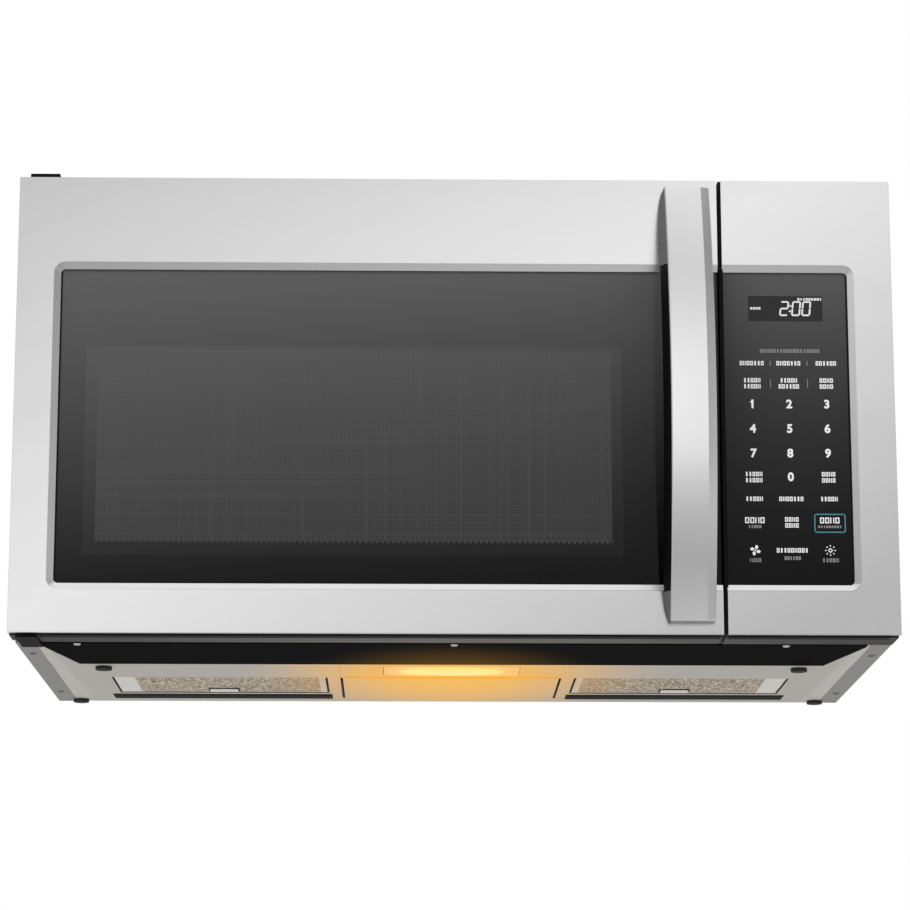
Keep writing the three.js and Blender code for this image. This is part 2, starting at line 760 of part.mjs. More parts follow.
function cabinetShell() {
  const y = [cabinetFront, DEPTH];
  const wrap = block([-cabinetSide, cabinetSide], y, [FOOT_HEIGHT, cabinetTop]).subtract(
    block([-innerSide, innerSide], grown(y, 1), [panTop, innerTop]),
  );
  const under = block([-flangeEdge, flangeEdge], grown(y, 1), [0, panTop + 1]);
  const exhaust = block(exhaustX, exhaustY, grown([innerTop, cabinetTop], 1));
  const gland = rod('z', GLAND_RADIUS + CLEAR, grown([innerTop, cabinetTop], 1), [glandX, glandY]);
  return cut(wrap, [under, exhaust, gland]);
}

const plateX = [-innerSide + CLEAR, innerSide - CLEAR];
const plateZ = [panTop + CLEAR, innerTop - CLEAR];

function rearPanel() {
  const plate = block(plateX, [backFace, DEPTH], plateZ);
  const z = panTop + WALL_SLOT_UP;
  const slots = [-WALL_SLOT_OUT, WALL_SLOT_OUT].map((x) => brick([x, backFace, z],
    [WALL_SLOT_WIDTH, 4 * SHEET, WALL_SLOT_HEIGHT]));
  return cut(plate, slots);
}

function frontPlate() {
  const plate = block(plateX, [cabinetFront, cabinetFront + SHEET], plateZ);
  const y = [cabinetFront - 1, cabinetFront + SHEET + 1];
  const mouth = block([cavityLeft, cavityRight], y, [cavityFloor, cavityTop]);
  const slots = [HOOK_LOW, HOOK_HIGH].map((up) => hookSpace(up, HOOK_SWING, 1, ...y));
  return cut(plate, [mouth, ...slots]);
}

function chassisPlate() {
  return block([-chassisSide, chassisSide], [insideFront, insideBack], [chassisBottom, chassisTop]);
}

function cordGland() {
  return turned([
    [GLAND_BORE, -8],
    [GLAND_RADIUS, -8],
    [GLAND_RADIUS, SHEET / 2],
    [GLAND_FLANGE, SHEET / 2],
    [GLAND_FLANGE, SHEET / 2 + 2],
    [GLAND_BORE, SHEET / 2 + 2],
    [GLAND_BORE, -8],
  ], [glandX, glandY, cabinetTop - SHEET / 2 + CLEAR], COARSE);
}

// ---------------------------------------------------------------- underside
const sides = [[-1, 'left'], [1, 'right']];
const filterX = FILTER_OUT + FILTER_WIDTH / 2;
const filterY = FILTER_FRONT + FILTER_DEPTH / 2;
const filterBottom = FOOT_HEIGHT + FILTER_SUNK;
const lensX = [-LENS_WIDTH / 2, LENS_WIDTH / 2];
const lensY = [LENS_FRONT, LENS_FRONT + LENS_DEPTH];

function airPanelOutline(grow, z, drop = 0) {
  const side = panSide - AIR_PANEL_INSET + grow;
  return roundedPlate([-side, side], [insideFront - drop, AIR_PANEL_BACK + grow], z,
    AIR_PANEL_CORNER + grow);
}

function airPanel() {
  const top = FOOT_HEIGHT + AIR_PANEL_THICKNESS;
  const body = airPanelOutline(0, [FOOT_HEIGHT, FOOT_HEIGHT + AIR_PANEL_RIM]);
  return body.subtract(airPanelOutline(-AIR_PANEL_THICKNESS, [top, chassisTop], 1));
}

function basePan() {
  const y = [insideFront, insideBack];
  const z = [FOOT_HEIGHT, FOOT_HEIGHT + PAN_RIM];
  const tray = block([-panSide, panSide], y, z).subtract(
    block([SHEET - panSide, panSide - SHEET], [0, insideBack - SHEET], [panTop, z[1] + 1]),
  );
  const front = airPanelOutline(CLEAR, [0, panTop + 1], 1);
  const middle = block([-COVER_HALF - CLEAR, COVER_HALF + CLEAR], [COVER_FRONT - CLEAR, COVER_BACK + CLEAR],
    [0, panTop + 1]);
  const openings = sides.flatMap(([side]) => [
    brick([side * filterX, filterY, FOOT_HEIGHT],
      [FILTER_WIDTH + 2 * CLEAR, FILTER_DEPTH + 2 * CLEAR, 4 * SHEET]),
    brick([side * filterX, FILTER_FRONT + FILTER_DEPTH + FINGER_SLOT_BACK + FINGER_SLOT_DEPTH / 2,
      FOOT_HEIGHT], [FILTER_WIDTH, FINGER_SLOT_DEPTH, 4 * SHEET]),
  ]);
  return cut(tray, [front, middle, ...openings]);
}

function serviceCover() {
  const plate = block([-COVER_HALF, COVER_HALF], [COVER_FRONT, COVER_BACK], [FOOT_HEIGHT, panTop]);
  const lens = block(grown(lensX, LENS_GAP), grown(lensY, LENS_GAP), [0, panTop + 1]);
  return plate.subtract(lens);
}

function lampLens() {
  return block(lensX, lensY, [FOOT_HEIGHT, FOOT_HEIGHT + LENS_THICKNESS]);
}

const lampY = LENS_FRONT + LENS_DEPTH / 2;
const lampZ = chassisBottom - CLEAR - HOLDER_SIZE / 2;
const bulbStart = -HOLDER_OUT + HOLDER_SIZE / 2 + CLEAR;

function lampHolder() {
  return brick([-HOLDER_OUT, lampY, lampZ], [HOLDER_SIZE, HOLDER_SIZE, HOLDER_SIZE]);
}

function lampBulb() {
  const globe = new THREE.SphereGeometry(BULB_RADIUS, COARSE, 8);
  globe.scale(1.6, 1, 1);
  globe.translate(bulbStart + BULB_LENGTH - 1.6 * BULB_RADIUS, lampY, lampZ);
  const cap = rod('x', BULB_RADIUS * 0.75, [bulbStart, bulbStart + BULB_LENGTH - 2 * BULB_RADIUS],
    [lampY, lampZ]);
  return solid(globe).add(cap);
}

function filterFrame() {
  const size = [FILTER_WIDTH, FILTER_DEPTH, FILTER_HEIGHT];
  const frame = brick([0, 0, FILTER_HEIGHT / 2], size).subtract(
    brick([0, 0, FILTER_HEIGHT / 2],
      [FILTER_WIDTH - 2 * FILTER_FRAME, FILTER_DEPTH - 2 * FILTER_FRAME, 2 * FILTER_HEIGHT]),
  );
  const tabY = FILTER_DEPTH / 2 - FILTER_FRAME - TAB_DEPTH / 2 + 1;
  return frame.add(brick([0, tabY, TAB_THICKNESS / 2], [TAB_WIDTH, TAB_DEPTH, TAB_THICKNESS]));
}

function filterMesh() {
  return brick([0, 0, (FILTER_HEIGHT + TAB_THICKNESS) / 2],
    [FILTER_WIDTH - 2 * FILTER_FRAME - 2 * CLEAR, FILTER_DEPTH - 2 * FILTER_FRAME - 2 * CLEAR, FILTER_MESH]);
}

function greaseFilter(side, name) {
  const filter = assembly(
    mesh(`filter_frame_${name}`, filterFrame(), enamel),
    mesh(`filter_mesh_${name}`, filterMesh(), meshMetal),
  );
  filter.position.set(side * filterX, filterY, filterBottom);
  return filter;
}

function feet() {
  const rearX = panSide - REAR_FOOT_IN - CLEAR;
  const places = [
    [-FRONT_FOOT_OUT, FRONT_FOOT_BACK],
    [FRONT_FOOT_OUT, FRONT_FOOT_BACK],
    [-rearX, DEPTH - REAR_FOOT_FORE],
    [rearX, DEPTH - REAR_FOOT_FORE],
  ];
  const height = FOOT_HEIGHT - CLEAR;
  return places.map(([x, y], number) => {
    const foot = mesh(`foot_${number + 1}`, rod('z', FOOT_RADIUS, [0, height], [0, 0]), rubber);
    foot.position.set(x, y, 0);
    return foot;
  });
}

function cabinet() {
  return assembly(
    mesh('cabinet_shell', cabinetShell(), darkSheet),
    mesh('rear_panel', rearPanel(), zincSheet),
    mesh('front_plate', frontPlate(), zincSheet),
    mesh('chassis_plate', chassisPlate(), zincSheet),
    mesh('cord_gland', cordGland(), blackPlastic),
    mesh('hinge_upper', upperHinge(), paintedBlack),
    mesh('hinge_lower', lowerHinge(), paintedBlack),
    mesh('air_panel', airPanel(), paintedBlack),
    mesh('base_pan', basePan(), paintedPan),
    mesh('service_cover', serviceCover(), paintedPan),
    mesh('lamp_lens', lampLens(), lampGlass),
    mesh('lamp_holder', lampHolder(), whitePlastic),
    mesh('lamp_bulb', lampBulb(), lampGlass),
    ...sides.map(([side, name]) => greaseFilter(side, name)),
    ...feet(),
  );
}

// ---------------------------------------------------------------- oven
function cavityLiner() {
  const outer = block([cavityLeft - SHEET, cavityRight + SHEET], [insideFront, cavityBack + SHEET],
    [cavityFloor - SHEET, cavityTop + SHEET]);
  const inner = block([cavityLeft, cavityRight], [0, cavityBack], [cavityFloor, cavityTop]);
  const shaft = rod('z', STEM_HOLE, [cavityFloor - 2 * SHEET, cavityFloor + 1], [turnX, turnY]);
  const port = brick([cavityRight, turnY, guideZ], [4 * SHEET, PORT_WIDTH, PORT_HEIGHT]);
  return cut(outer, [inner, shaft, port]);
}

function turntableMotor() {
  const body = rod('z', TURN_MOTOR_RADIUS, [turnMotorBottom, turnMotorTop], [turnX, turnY], FINE);
  const bore = rod('z', STEM + RUNNING, [turnMotorTop - STEM_DEPTH - 1, turnMotorTop + 1], [turnX, turnY]);
  return body.subtract(bore);
}

function turntableCoupler() {
  const z = [cavityFloor + 1, trayBottom - CLEAR];
  const hub = rod('z', COUPLER_HUB, z, [turnX, turnY]);
  const stem = rod('z', STEM, [turnMotorTop - STEM_DEPTH, z[0] + 1], [turnX, turnY]);
  const arms = thirds(block([turnX, turnX + COUPLER_ARM],
    [turnY - COUPLER_ARM_WIDTH / 2, turnY + COUPLER_ARM_WIDTH / 2], z));
  return union([hub, stem, ...arms]);
}

// Three copies of a piece round the turntable's axis.
function thirds(piece) {
  return [0, 120, 240].map((degrees) => turnedAbout(piece, degrees, [turnX, turnY]));
}

function glassTray() {
  const plate = turned([
    [0, 0],
    [trayRadius - 12, 0],
    [trayRadius, TRAY],
    [trayRadius, TRAY + TRAY_RIM],
    [trayRadius - 3, TRAY + TRAY_RIM],
    [trayRadius - 13, TRAY],
    [0, TRAY],
  ], [turnX, turnY, trayBottom], 48);
  const lug = rod('z', LUG_RADIUS, [trayBottom - LUG_DROP, trayBottom + 1], [turnX - LUG_OUT, turnY], 12);
  return union([plate, ...thirds(lug)]);
}

function rollerRing() {
  const z = [rollerZ - RING_HEIGHT / 2, rollerZ + RING_HEIGHT / 2];
  const ring = rod('z', ringRadius + RING_WIDTH / 2, z, [turnX, turnY], FINE).subtract(
    rod('z', ringRadius - RING_WIDTH / 2, grown(z, 1), [turnX, turnY], FINE),
  );
  const end = ringRadius + ROLLER_OUT + ROLLER_WIDTH / 2 + 2;
  const axle = rod('x', AXLE, [turnX + ringRadius, turnX + end], [turnY, rollerZ], 10);
  return union([ring, ...thirds(axle)]);
}

function rollers() {
  const wheel = rod('x', ROLLER_RADIUS, [-ROLLER_WIDTH / 2, ROLLER_WIDTH / 2], [0, 0], 20).subtract(
    rod('x', AXLE + RUNNING, [-ROLLER_WIDTH, ROLLER_WIDTH], [0, 0], 10),
  );
  const out = ringRadius + ROLLER_OUT;
  return Array.from({ length: ROLLERS }, (_, number) => {
    const angle = (number / ROLLERS) * 2 * Math.PI;
    const roller = mesh(`roller_${number + 1}`, wheel, whitePlastic);
    roller.rotation.z = angle;
    roller.position.set(turnX + out * Math.cos(angle), turnY + out * Math.sin(angle), rollerZ);
    return roller;
  });
}

function oven() {
  return assembly(
    mesh('cavity_liner', cavityLiner(), enamel),
    mesh('turntable_motor', turntableMotor(), zincSheet),
    mesh('turntable_coupler', turntableCoupler(), whitePlastic),
    mesh('roller_ring', rollerRing(), whitePlastic),
    mesh('glass_tray', glassTray(), trayGlass),
    ...rollers(),
  );
}

// ---------------------------------------------------------------- microwave compartment
function waveguide() {
  const size = [GUIDE_DEPTH, GUIDE_WIDTH, GUIDE_HEIGHT];
  const middle = guideX + GUIDE_DEPTH / 2;
  const inner = brick([middle - SHEET, turnY, guideZ],
    [GUIDE_DEPTH, GUIDE_WIDTH - 2 * SHEET, GUIDE_HEIGHT - 2 * SHEET]);
  const hole = rod('x', ANTENNA_RADIUS + 2, [middle, guideX + GUIDE_DEPTH + 1], [turnY, guideZ]);
  return cut(brick([middle, turnY, guideZ], size), [inner, hole]);
}

function waveguideCover() {
  return brick([cavityRight - CLEAR - MICA / 2, turnY, guideZ],
    [MICA, PORT_WIDTH + 2 * MICA_OVER, PORT_HEIGHT + 2 * MICA_OVER]);
}

function magnetron() {
  const middle = yokeX + YOKE_LENGTH / 2;
  const yoke = brick([middle, turnY, guideZ], [YOKE_LENGTH, YOKE_WIDTH, YOKE_HEIGHT]).subtract(
    brick([middle, turnY, guideZ],
      [YOKE_LENGTH - 2 * YOKE_WALL, YOKE_WIDTH + 2, YOKE_HEIGHT - 2 * YOKE_WALL]),
  );
  const anode = rod('x', ANODE_RADIUS, [yokeX + 1, yokeX + YOKE_LENGTH - 1], [turnY, guideZ]);
  const antenna = rod('x', ANTENNA_RADIUS, [yokeX - ANTENNA_LENGTH, yokeX + 2], [turnY, guideZ]);
  const fins = Array.from({ length: FINS }, (_, number) => {
    const x = yokeX + ((number + 1) / (FINS + 1)) * YOKE_LENGTH;
    return brick([x, turnY, guideZ], [FIN, YOKE_WIDTH - 4, YOKE_HEIGHT - YOKE_WALL]);
  });
  return union([yoke, anode, antenna, ...fins]);
}

function transformer() {
  const z = chassisTop + CLEAR + CORE_HEIGHT / 2;
  const core = brick([compartmentX, CORE_BACK, z], [CORE_WIDTH, CORE_DEPTH, CORE_HEIGHT]);
  const winding = brick([compartmentX, CORE_BACK, z], [WINDING_WIDTH, WINDING_DEPTH, WINDING_HEIGHT]);
  return core.add(winding);
}

function capacitor() {
  const z = [chassisTop + CLEAR, chassisTop + CLEAR + CAN_HEIGHT];
  const ends = [-CAN_SPREAD, CAN_SPREAD].map((x) => rod('z', CAN_RADIUS, z,
    [compartmentX + x / 2, CAN_BACK], 20));
  const body = block([compartmentX - CAN_SPREAD / 2, compartmentX + CAN_SPREAD / 2],
    [CAN_BACK - CAN_RADIUS, CAN_BACK + CAN_RADIUS], z);
  const terminals = [-CAN_SPREAD, CAN_SPREAD].map((x) => brick([compartmentX + x / 2, CAN_BACK, z[1] + 3],
    [1, 6, 8]));
  return union([...ends, body, ...terminals]);
}

const fanY = [insideBack - FAN_DEPTH, insideBack];

function fanFrame() {
  const x = [fanX - FAN_SIZE / 2, fanX + FAN_SIZE / 2];
  const z = [guideZ - FAN_SIZE / 2, guideZ + FAN_SIZE / 2];
  const ring = block(x, fanY, z).subtract(rod('y', FAN_BORE, grown(fanY, 1), [fanX, guideZ], FINE));
  const motor = rod('y', FAN_MOTOR_RADIUS, [fanY[1] - FAN_MOTOR_LENGTH, fanY[1]], [fanX, guideZ]);
  const strut = brick([fanX, fanY[1] - 2, guideZ], [2 * FAN_BORE + 4, 4, 10]);
  const bore = rod('y', FAN_SHAFT + RUNNING, [fanY[1] - FAN_MOTOR_LENGTH - 1, fanY[1] - 3], [fanX, guideZ], 10);
  return union([ring, motor, strut]).subtract(bore);
}

function fanWheel() {
  const start = fanY[0] + 4;
  const hub = rod('y', FAN_HUB, [start, start + FAN_HUB_LENGTH], [fanX, guideZ]);
  const shaft = rod('y', FAN_SHAFT, [start + 1, fanY[1] - 4], [fanX, guideZ], 10);
  const blades = Array.from({ length: FAN_BLADES }, (_, number) => {
    const length = FAN_BLADE_TIP - FAN_HUB + 2;
    const blade = brick([0, 0, 0], [length, 1.6, 13]).rotate([40, 0, 0]);
    return blade
      .translate([FAN_HUB - 2 + length / 2, start + FAN_HUB_LENGTH / 2, 0])
      .rotate([0, (number * 360) / FAN_BLADES, 0])
      .translate([fanX, 0, guideZ]);
  });
  return union([hub, shaft, ...blades]);
}

const latchBoardX = latchX + LATCH_BOARD_OUT;

function latchBoard() {
  return block([latchBoardX, latchBoardX + LATCH_BOARD], [insideFront, insideFront + LATCH_BOARD_DEPTH],
    [frontBottom + HOOK_LOW - SLIDER_OVER, frontBottom + HOOK_HIGH + SLIDER_OVER]);
}

function latchSwitch(up) {
  const x = latchBoardX + LATCH_BOARD + CLEAR;
  const y = insideFront + CLEAR;
  const z = frontBottom + up;
  const body = block([x, x + SWITCH_WIDTH], [y, y + SWITCH_DEPTH], [z, z + SWITCH_HEIGHT]);
  const terminal = brick([x + SWITCH_WIDTH / 2, y + SWITCH_DEPTH + 3, z + SWITCH_HEIGHT / 2], [1, 8, 5]);
  return body.add(terminal);
}

function compartment() {
  return assembly(
    mesh('waveguide', waveguide(), zincSheet),
    mesh('waveguide_cover', waveguideCover(), mica),
    mesh('magnetron', magnetron(), zincSheet),
    mesh('transformer', transformer(), copper),
    mesh('capacitor', capacitor(), zincSheet),
    mesh('cooling_fan_frame', fanFrame(), blackPlastic),
    mesh('cooling_fan_wheel', fanWheel(), whitePlastic),
    mesh('latch_board', latchBoard(), whitePlastic),
    mesh('latch_switch_lower', latchSwitch(HOOK_LOW), blackPlastic),
    mesh('latch_switch_upper', latchSwitch(HOOK_HIGH), blackPlastic),
  );
}

// ---------------------------------------------------------------- vent blower and exhaust
const motorEnd = SCROLL_IN - VENT_MOTOR_END;
const blowerAxis = [BLOWER_BACK, blowerZ];

function scroll(side) {
  const x = [SCROLL_IN, SCROLL_OUT].map((out) => side * out).sort((a, b) => a - b);
  const chamber = (grow, along, top) => {
    const radius = SCROLL_RADIUS + grow;
    const outlet = block(along, [BLOWER_BACK - radius, BLOWER_BACK + SCROLL_OUTLET + grow], [blowerZ, top]);
    return rod('x', radius, along, blowerAxis, FINE).add(outlet);
  };
  const shell = chamber(SCROLL_WALL, x, scrollTop);
  const inside = chamber(0, grown(x, -SCROLL_WALL), scrollTop + 1);
  const inlet = rod('x', INLET_RADIUS, [side * SCROLL_OUT - 3, side * SCROLL_OUT + 3], blowerAxis, 24);
  const shaft = rod('x', VENT_SHAFT + RUNNING, [side * SCROLL_IN - 3, side * SCROLL_IN + 3], blowerAxis);
  return cut(shell, [inside, inlet, shaft]);
}

function blowerHousing() {
  const top = blowerZ - VENT_MOTOR_RADIUS - CLEAR;
  const reach = SCROLL_IN + SCROLL_WALL / 2;
  const cradle = block([-reach, reach], [BLOWER_BACK - CRADLE_DEPTH / 2, BLOWER_BACK + CRADLE_DEPTH / 2],
    [top - SCROLL_WALL, top]);
  return union([scroll(-1), scroll(1), cradle]);
}

function ventMotor() {
  return rod('x', VENT_MOTOR_RADIUS, [-motorEnd, motorEnd], blowerAxis, FINE).subtract(
    rod('x', VENT_SHAFT + RUNNING, [-motorEnd - 1, motorEnd + 1], blowerAxis),
  );
}

const wheelStart = SCROLL_IN + SCROLL_WALL + WHEEL_AIR;
const wheelLength = SCROLL_OUT - SCROLL_WALL - WHEEL_AIR - wheelStart;

function ventShaft() {
  const end = wheelStart + wheelLength / 3;
  return rod('x', VENT_SHAFT, [-end, end], blowerAxis);
}

function ventWheel(side) {
  const bore = VENT_SHAFT + CLEAR;
  const wheel = turned([
    [bore, 0],
    [WHEEL_RADIUS, 0],
    [WHEEL_RADIUS, wheelLength],
    [WHEEL_RADIUS - WHEEL_WALL, wheelLength],
    [WHEEL_RADIUS - WHEEL_WALL, WHEEL_WALL],
    [WHEEL_HUB, WHEEL_WALL],
    [WHEEL_HUB, wheelLength / 3],
    [bore, wheelLength / 3],
    [bore, 0],
  ], [0, 0, wheelStart], 24);
  return wheel.rotate([0, side * 90, 0]).translate([0, ...blowerAxis]);
}

function exhaustCollar() {
  const z = [innerTop, cabinetTop + COLLAR_HEIGHT];
  const neck = block(grown(exhaustX, -CLEAR), grown(exhaustY, -CLEAR), z);
  const flange = block(grown(exhaustX, COLLAR_FLANGE), grown(exhaustY, COLLAR_FLANGE),
    [cabinetTop + CLEAR, cabinetTop + CLEAR + SHEET]);
  const passage = block(grown(exhaustX, -COLLAR_WALL), grown(exhaustY, -COLLAR_WALL), grown(z, 1));
  const reach = EXHAUST_WIDTH / 2 - COLLAR_WALL + FLAP_PIN_LENGTH;
  const pins = rod('x', FLAP_PIN + CLEAR, [-reach, reach], [flapPinY, flapZ], 10);
  return cut(neck.add(flange), [passage, pins]);
}

const flapX = grown(exhaustX, -COLLAR_WALL - FLAP_EDGE);
const flapY = grown(exhaustY, -COLLAR_WALL - FLAP_EDGE);
const flapPinY = flapY[1] - FLAP_PIN_IN;

function damperFlap() {
  const plate = block(flapX, flapY, [flapZ - FLAP / 2, flapZ + FLAP / 2]);
  const pin = rod('x', FLAP_PIN, grown(flapX, FLAP_EDGE + FLAP_PIN_LENGTH - CLEAR), [flapPinY, flapZ], 10);
  return plate.add(pin);
}

function vent() {
  return assembly(
    mesh('blower_housing', blowerHousing(), zincSheet),
    mesh('vent_motor', ventMotor(), darkSheet),
    mesh('vent_shaft', ventShaft(), zincSheet),
    mesh('vent_wheel_left', ventWheel(-1), whitePlastic),
    mesh('vent_wheel_right', ventWheel(1), whitePlastic),
    mesh('exhaust_collar', exhaustCollar(), zincSheet),
    mesh('damper_flap', damperFlap(), zincSheet),
  );
}

// ---------------------------------------------------------------- whole oven
const microwave = assembly(door(), controlPanel(), cabinet(), oven(), compartment(), vent());
microwave.position.y = (HANDLE_REACH - DEPTH) / 2;

export default microwave;
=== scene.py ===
# %% [markdown]
# # A microwave oven that hangs over a cooktop
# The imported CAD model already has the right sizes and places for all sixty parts. This script dresses it:
# it gives every part a finish, and swaps the few parts whose edges the eye lingers on for finer ones.
# The frame is loaded first because each new piece is measured from it and rides on one of its bodies.

# %% Load the frame
import json
import math

import bmesh
import bpy
from mathutils import Matrix, Vector, noise


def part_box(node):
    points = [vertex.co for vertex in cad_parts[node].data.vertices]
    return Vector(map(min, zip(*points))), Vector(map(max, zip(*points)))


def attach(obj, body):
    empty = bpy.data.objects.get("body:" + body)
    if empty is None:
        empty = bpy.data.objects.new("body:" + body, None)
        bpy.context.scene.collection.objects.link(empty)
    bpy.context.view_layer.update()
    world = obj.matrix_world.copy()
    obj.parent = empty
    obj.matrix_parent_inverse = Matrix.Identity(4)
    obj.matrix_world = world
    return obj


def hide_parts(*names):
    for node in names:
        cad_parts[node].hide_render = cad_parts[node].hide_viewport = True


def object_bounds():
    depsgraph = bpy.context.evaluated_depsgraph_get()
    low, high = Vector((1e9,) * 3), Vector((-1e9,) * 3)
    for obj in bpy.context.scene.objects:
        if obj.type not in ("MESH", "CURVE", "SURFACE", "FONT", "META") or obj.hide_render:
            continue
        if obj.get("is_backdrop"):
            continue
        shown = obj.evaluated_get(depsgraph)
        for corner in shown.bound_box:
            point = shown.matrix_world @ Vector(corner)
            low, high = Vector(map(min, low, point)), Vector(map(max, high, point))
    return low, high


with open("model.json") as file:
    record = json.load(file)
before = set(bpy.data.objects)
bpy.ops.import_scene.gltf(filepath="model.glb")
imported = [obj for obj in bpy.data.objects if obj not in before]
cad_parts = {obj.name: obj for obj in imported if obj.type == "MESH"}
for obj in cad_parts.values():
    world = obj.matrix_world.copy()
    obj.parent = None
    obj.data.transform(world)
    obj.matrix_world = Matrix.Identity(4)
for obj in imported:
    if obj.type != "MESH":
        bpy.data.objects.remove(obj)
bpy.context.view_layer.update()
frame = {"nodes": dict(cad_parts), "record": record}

# %% [markdown]
# ## Measures that the pieces share
# The front is one flat face, cut by a slot into a door and a control panel. A shallow recess runs across
# both; its edge slopes gently, then steps down to the glass. Its margins are written once here, in
# millimetres, and everything on the front is placed from them and from the boxes of the CAD nodes.

# %% Measures of the front
MM = 0.001

door_low, door_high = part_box("door_skin")
panel_low, panel_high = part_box("control_skin")
glass_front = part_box("control_glass")[0].y
FACE = door_low.y  # the plane of the stainless front
FRONT = {"left": door_low.x, "right": panel_high.x, "low": door_low.z, "high": door_high.z}
RECESS = {  # the top of the slope round the glass
    "left": FRONT["left"] + 31.6 * MM,
    "right": FRONT["right"] - 32.5 * MM,
    "low": FRONT["low"] + 37.3 * MM,
    "high": FRONT["high"] - 76.6 * MM,
}
RECESS_CORNER = 10 * MM
SLOPE_WIDTH, SLOPE_DEPTH = 6 * MM, 3 * MM
STEP_WIDTH, RECESS_DEPTH = 0.3 * MM, 5 * MM  # from the foot of the slope down to the glass
RIM_DEPTH = 3.4 * MM  # how far the steel turns back at its free edges
SHEET = 1.5 * MM


def at_depth(depth):
    """Where a distance behind the door's face lies, from millimetres."""
    return FACE + depth * MM


print("front", {side: round(at, 4) for side, at in FRONT.items()}, "face at y", round(FACE, 4))

# %% [markdown]
# ## Camera
# The oven was photographed from below and a little to the left, with a long lens, so that its front stays
# nearly square and its underside shows as a thin band. A long lens from far away gives that; a short one
# close by would make the front a trapezium. Shift slides the picture without turning the camera.

# %% Camera
CAMERA_PLACE = Vector((-0.0434, -2.6398, -0.4276))
CAMERA_PITCH = 11.235  # degrees upwards
CAMERA_YAW = -0.998
FOCAL_WIDTHS = 3.2515  # focal length in widths of the picture
SENSOR = 36
SHIFT_UP = 0.12

lens = bpy.data.cameras.new("camera")
lens.sensor_width = SENSOR
lens.lens = FOCAL_WIDTHS * SENSOR
lens.shift_y = SHIFT_UP
camera = bpy.data.objects.new("camera", lens)
camera.location = CAMERA_PLACE
camera.rotation_euler = (math.radians(90 + CAMERA_PITCH), 0, math.radians(CAMERA_YAW))
bpy.context.scene.collection.objects.link(camera)
bpy.context.scene.camera = camera
bpy.context.scene.view_settings.view_transform = "Standard"
print("lens", round(lens.lens, 1), "mm")

# %% [markdown]
# ## The studio
# Brushed steel shows what surrounds it more than the lamps that fall on it. So the world does most of the
# work: it is plain white to the camera and through glass, and softer where it only lights. In a reflection
# it is a studio: bright in front and above, dimmer towards the floor and the sides, which is what shows that
# the handle is bowed and chamfered. Two colour ramps give that, one up and down and one from side to side.

# %% World
WORLD_LIGHT = 0.62
# How bright the studio looks in a reflection, from straight down (0) over the horizon (0.5) to straight up (1)
STUDIO_HEIGHTS = ((0.0, 0.6), (0.26, 0.42), (0.42, 0.72), (0.51, 1.0), (0.68, 1.0), (0.775, 0.8), (0.83, 0.68),
                  (0.9, 0.84), (1.0, 1.0))
# The same from the far left (0) over the front (0.5) to the far right (1)
STUDIO_SIDES = ((0.0, 0.42), (0.12, 0.6), (0.2, 0.86), (0.3, 1.0), (0.68, 1.0), (0.78, 0.4), (0.84, 0.38),
                (0.92, 0.66), (1.0, 0.6))

world = bpy.data.worlds.new("studio")
bpy.context.scene.world = world
world.use_nodes = True
sky = world.node_tree
sky.nodes.clear()


def set_stops(ramp, stops):
    """Greys along a colour ramp, from pairs of a place and a brightness."""
    while len(ramp.color_ramp.elements) < len(stops):
        ramp.color_ramp.elements.new(0.5)
    for element, (at, light) in zip(ramp.color_ramp.elements, stops):
        element.position = at
        element.color = (light, light, light, 1)


def sky_node(kind, *links, **settings):
    """A node of the world, with its first inputs linked."""
    node = sky.nodes.new(kind)
    for setting, value in settings.items():
        setattr(node, setting, value)
    for out, into in zip(links, node.inputs):
        sky.links.new(out, into)
    return node


def sky_ramp(axis, stops):
    """The studio's brightness along one axis of the reflection's direction, which runs from -1 to 1."""
    share = sky_node("ShaderNodeMath", axis, operation="MULTIPLY_ADD")
    share.inputs[1].default_value = 0.5
    share.inputs[2].default_value = 0.5
    ramp = sky_node("ShaderNodeValToRGB", share.outputs[0])
    ramp.color_ramp.interpolation = "EASE"
    set_stops(ramp, stops)
    return ramp.outputs["Color"]


direction = sky_node("ShaderNodeSeparateXYZ", sky_node("ShaderNodeTexCoord").outputs["Generated"])
gloss = sky_node("ShaderNodeMath", sky_ramp(direction.outputs["Z"], STUDIO_HEIGHTS),
                 sky_ramp(direction.outputs["X"], STUDIO_SIDES), operation="MULTIPLY")
path = sky_node("ShaderNodeLightPath")
plain_white = sky_node("ShaderNodeMath", path.outputs["Is Camera Ray"], path.outputs["Is Transmission Ray"],
                       operation="MAXIMUM")
lighting = sky_node("ShaderNodeMix", path.outputs["Is Glossy Ray"], data_type="FLOAT")
lighting.inputs["A"].default_value = WORLD_LIGHT
sky.links.new(gloss.outputs[0], lighting.inputs["B"])
level = sky_node("ShaderNodeMath", lighting.outputs[0], plain_white.outputs[0], operation="MAXIMUM")
background = sky_node("ShaderNodeBackground")
background.inputs["Color"].default_value = (1, 1, 1, 1)
sky.links.new(level.outputs[0], background.inputs["Strength"])
sky_node("ShaderNodeOutputWorld", background.outputs[0])
print("world lights with", WORLD_LIGHT)

# %% [markdown]
# Two square soft boxes add a direction to the light: a strong one in front at the upper left and a weak one
# above. Wide boxes give soft shadows. They are hidden from reflections, where they would be hard bright
# squares on the steel.

# %% Lamps
LAMP_AIM = Vector((0, 0, 0.2))
LAMP_WIDTH = 2.4


def soft_lamp(name, place, watts):
    """A square soft box that faces the oven."""
    light = bpy.data.lights.new(name, "AREA")
    light.shape = "SQUARE"
    light.size = LAMP_WIDTH
    light.energy = watts
    lamp = bpy.data.objects.new(name, light)
    lamp.location = place
    lamp.rotation_euler = (LAMP_AIM - Vector(place)).to_track_quat("-Z", "Y").to_euler()
    lamp.visible_camera = False
    lamp.visible_glossy = False
    bpy.context.scene.collection.objects.link(lamp)
    print(name, watts, "W")


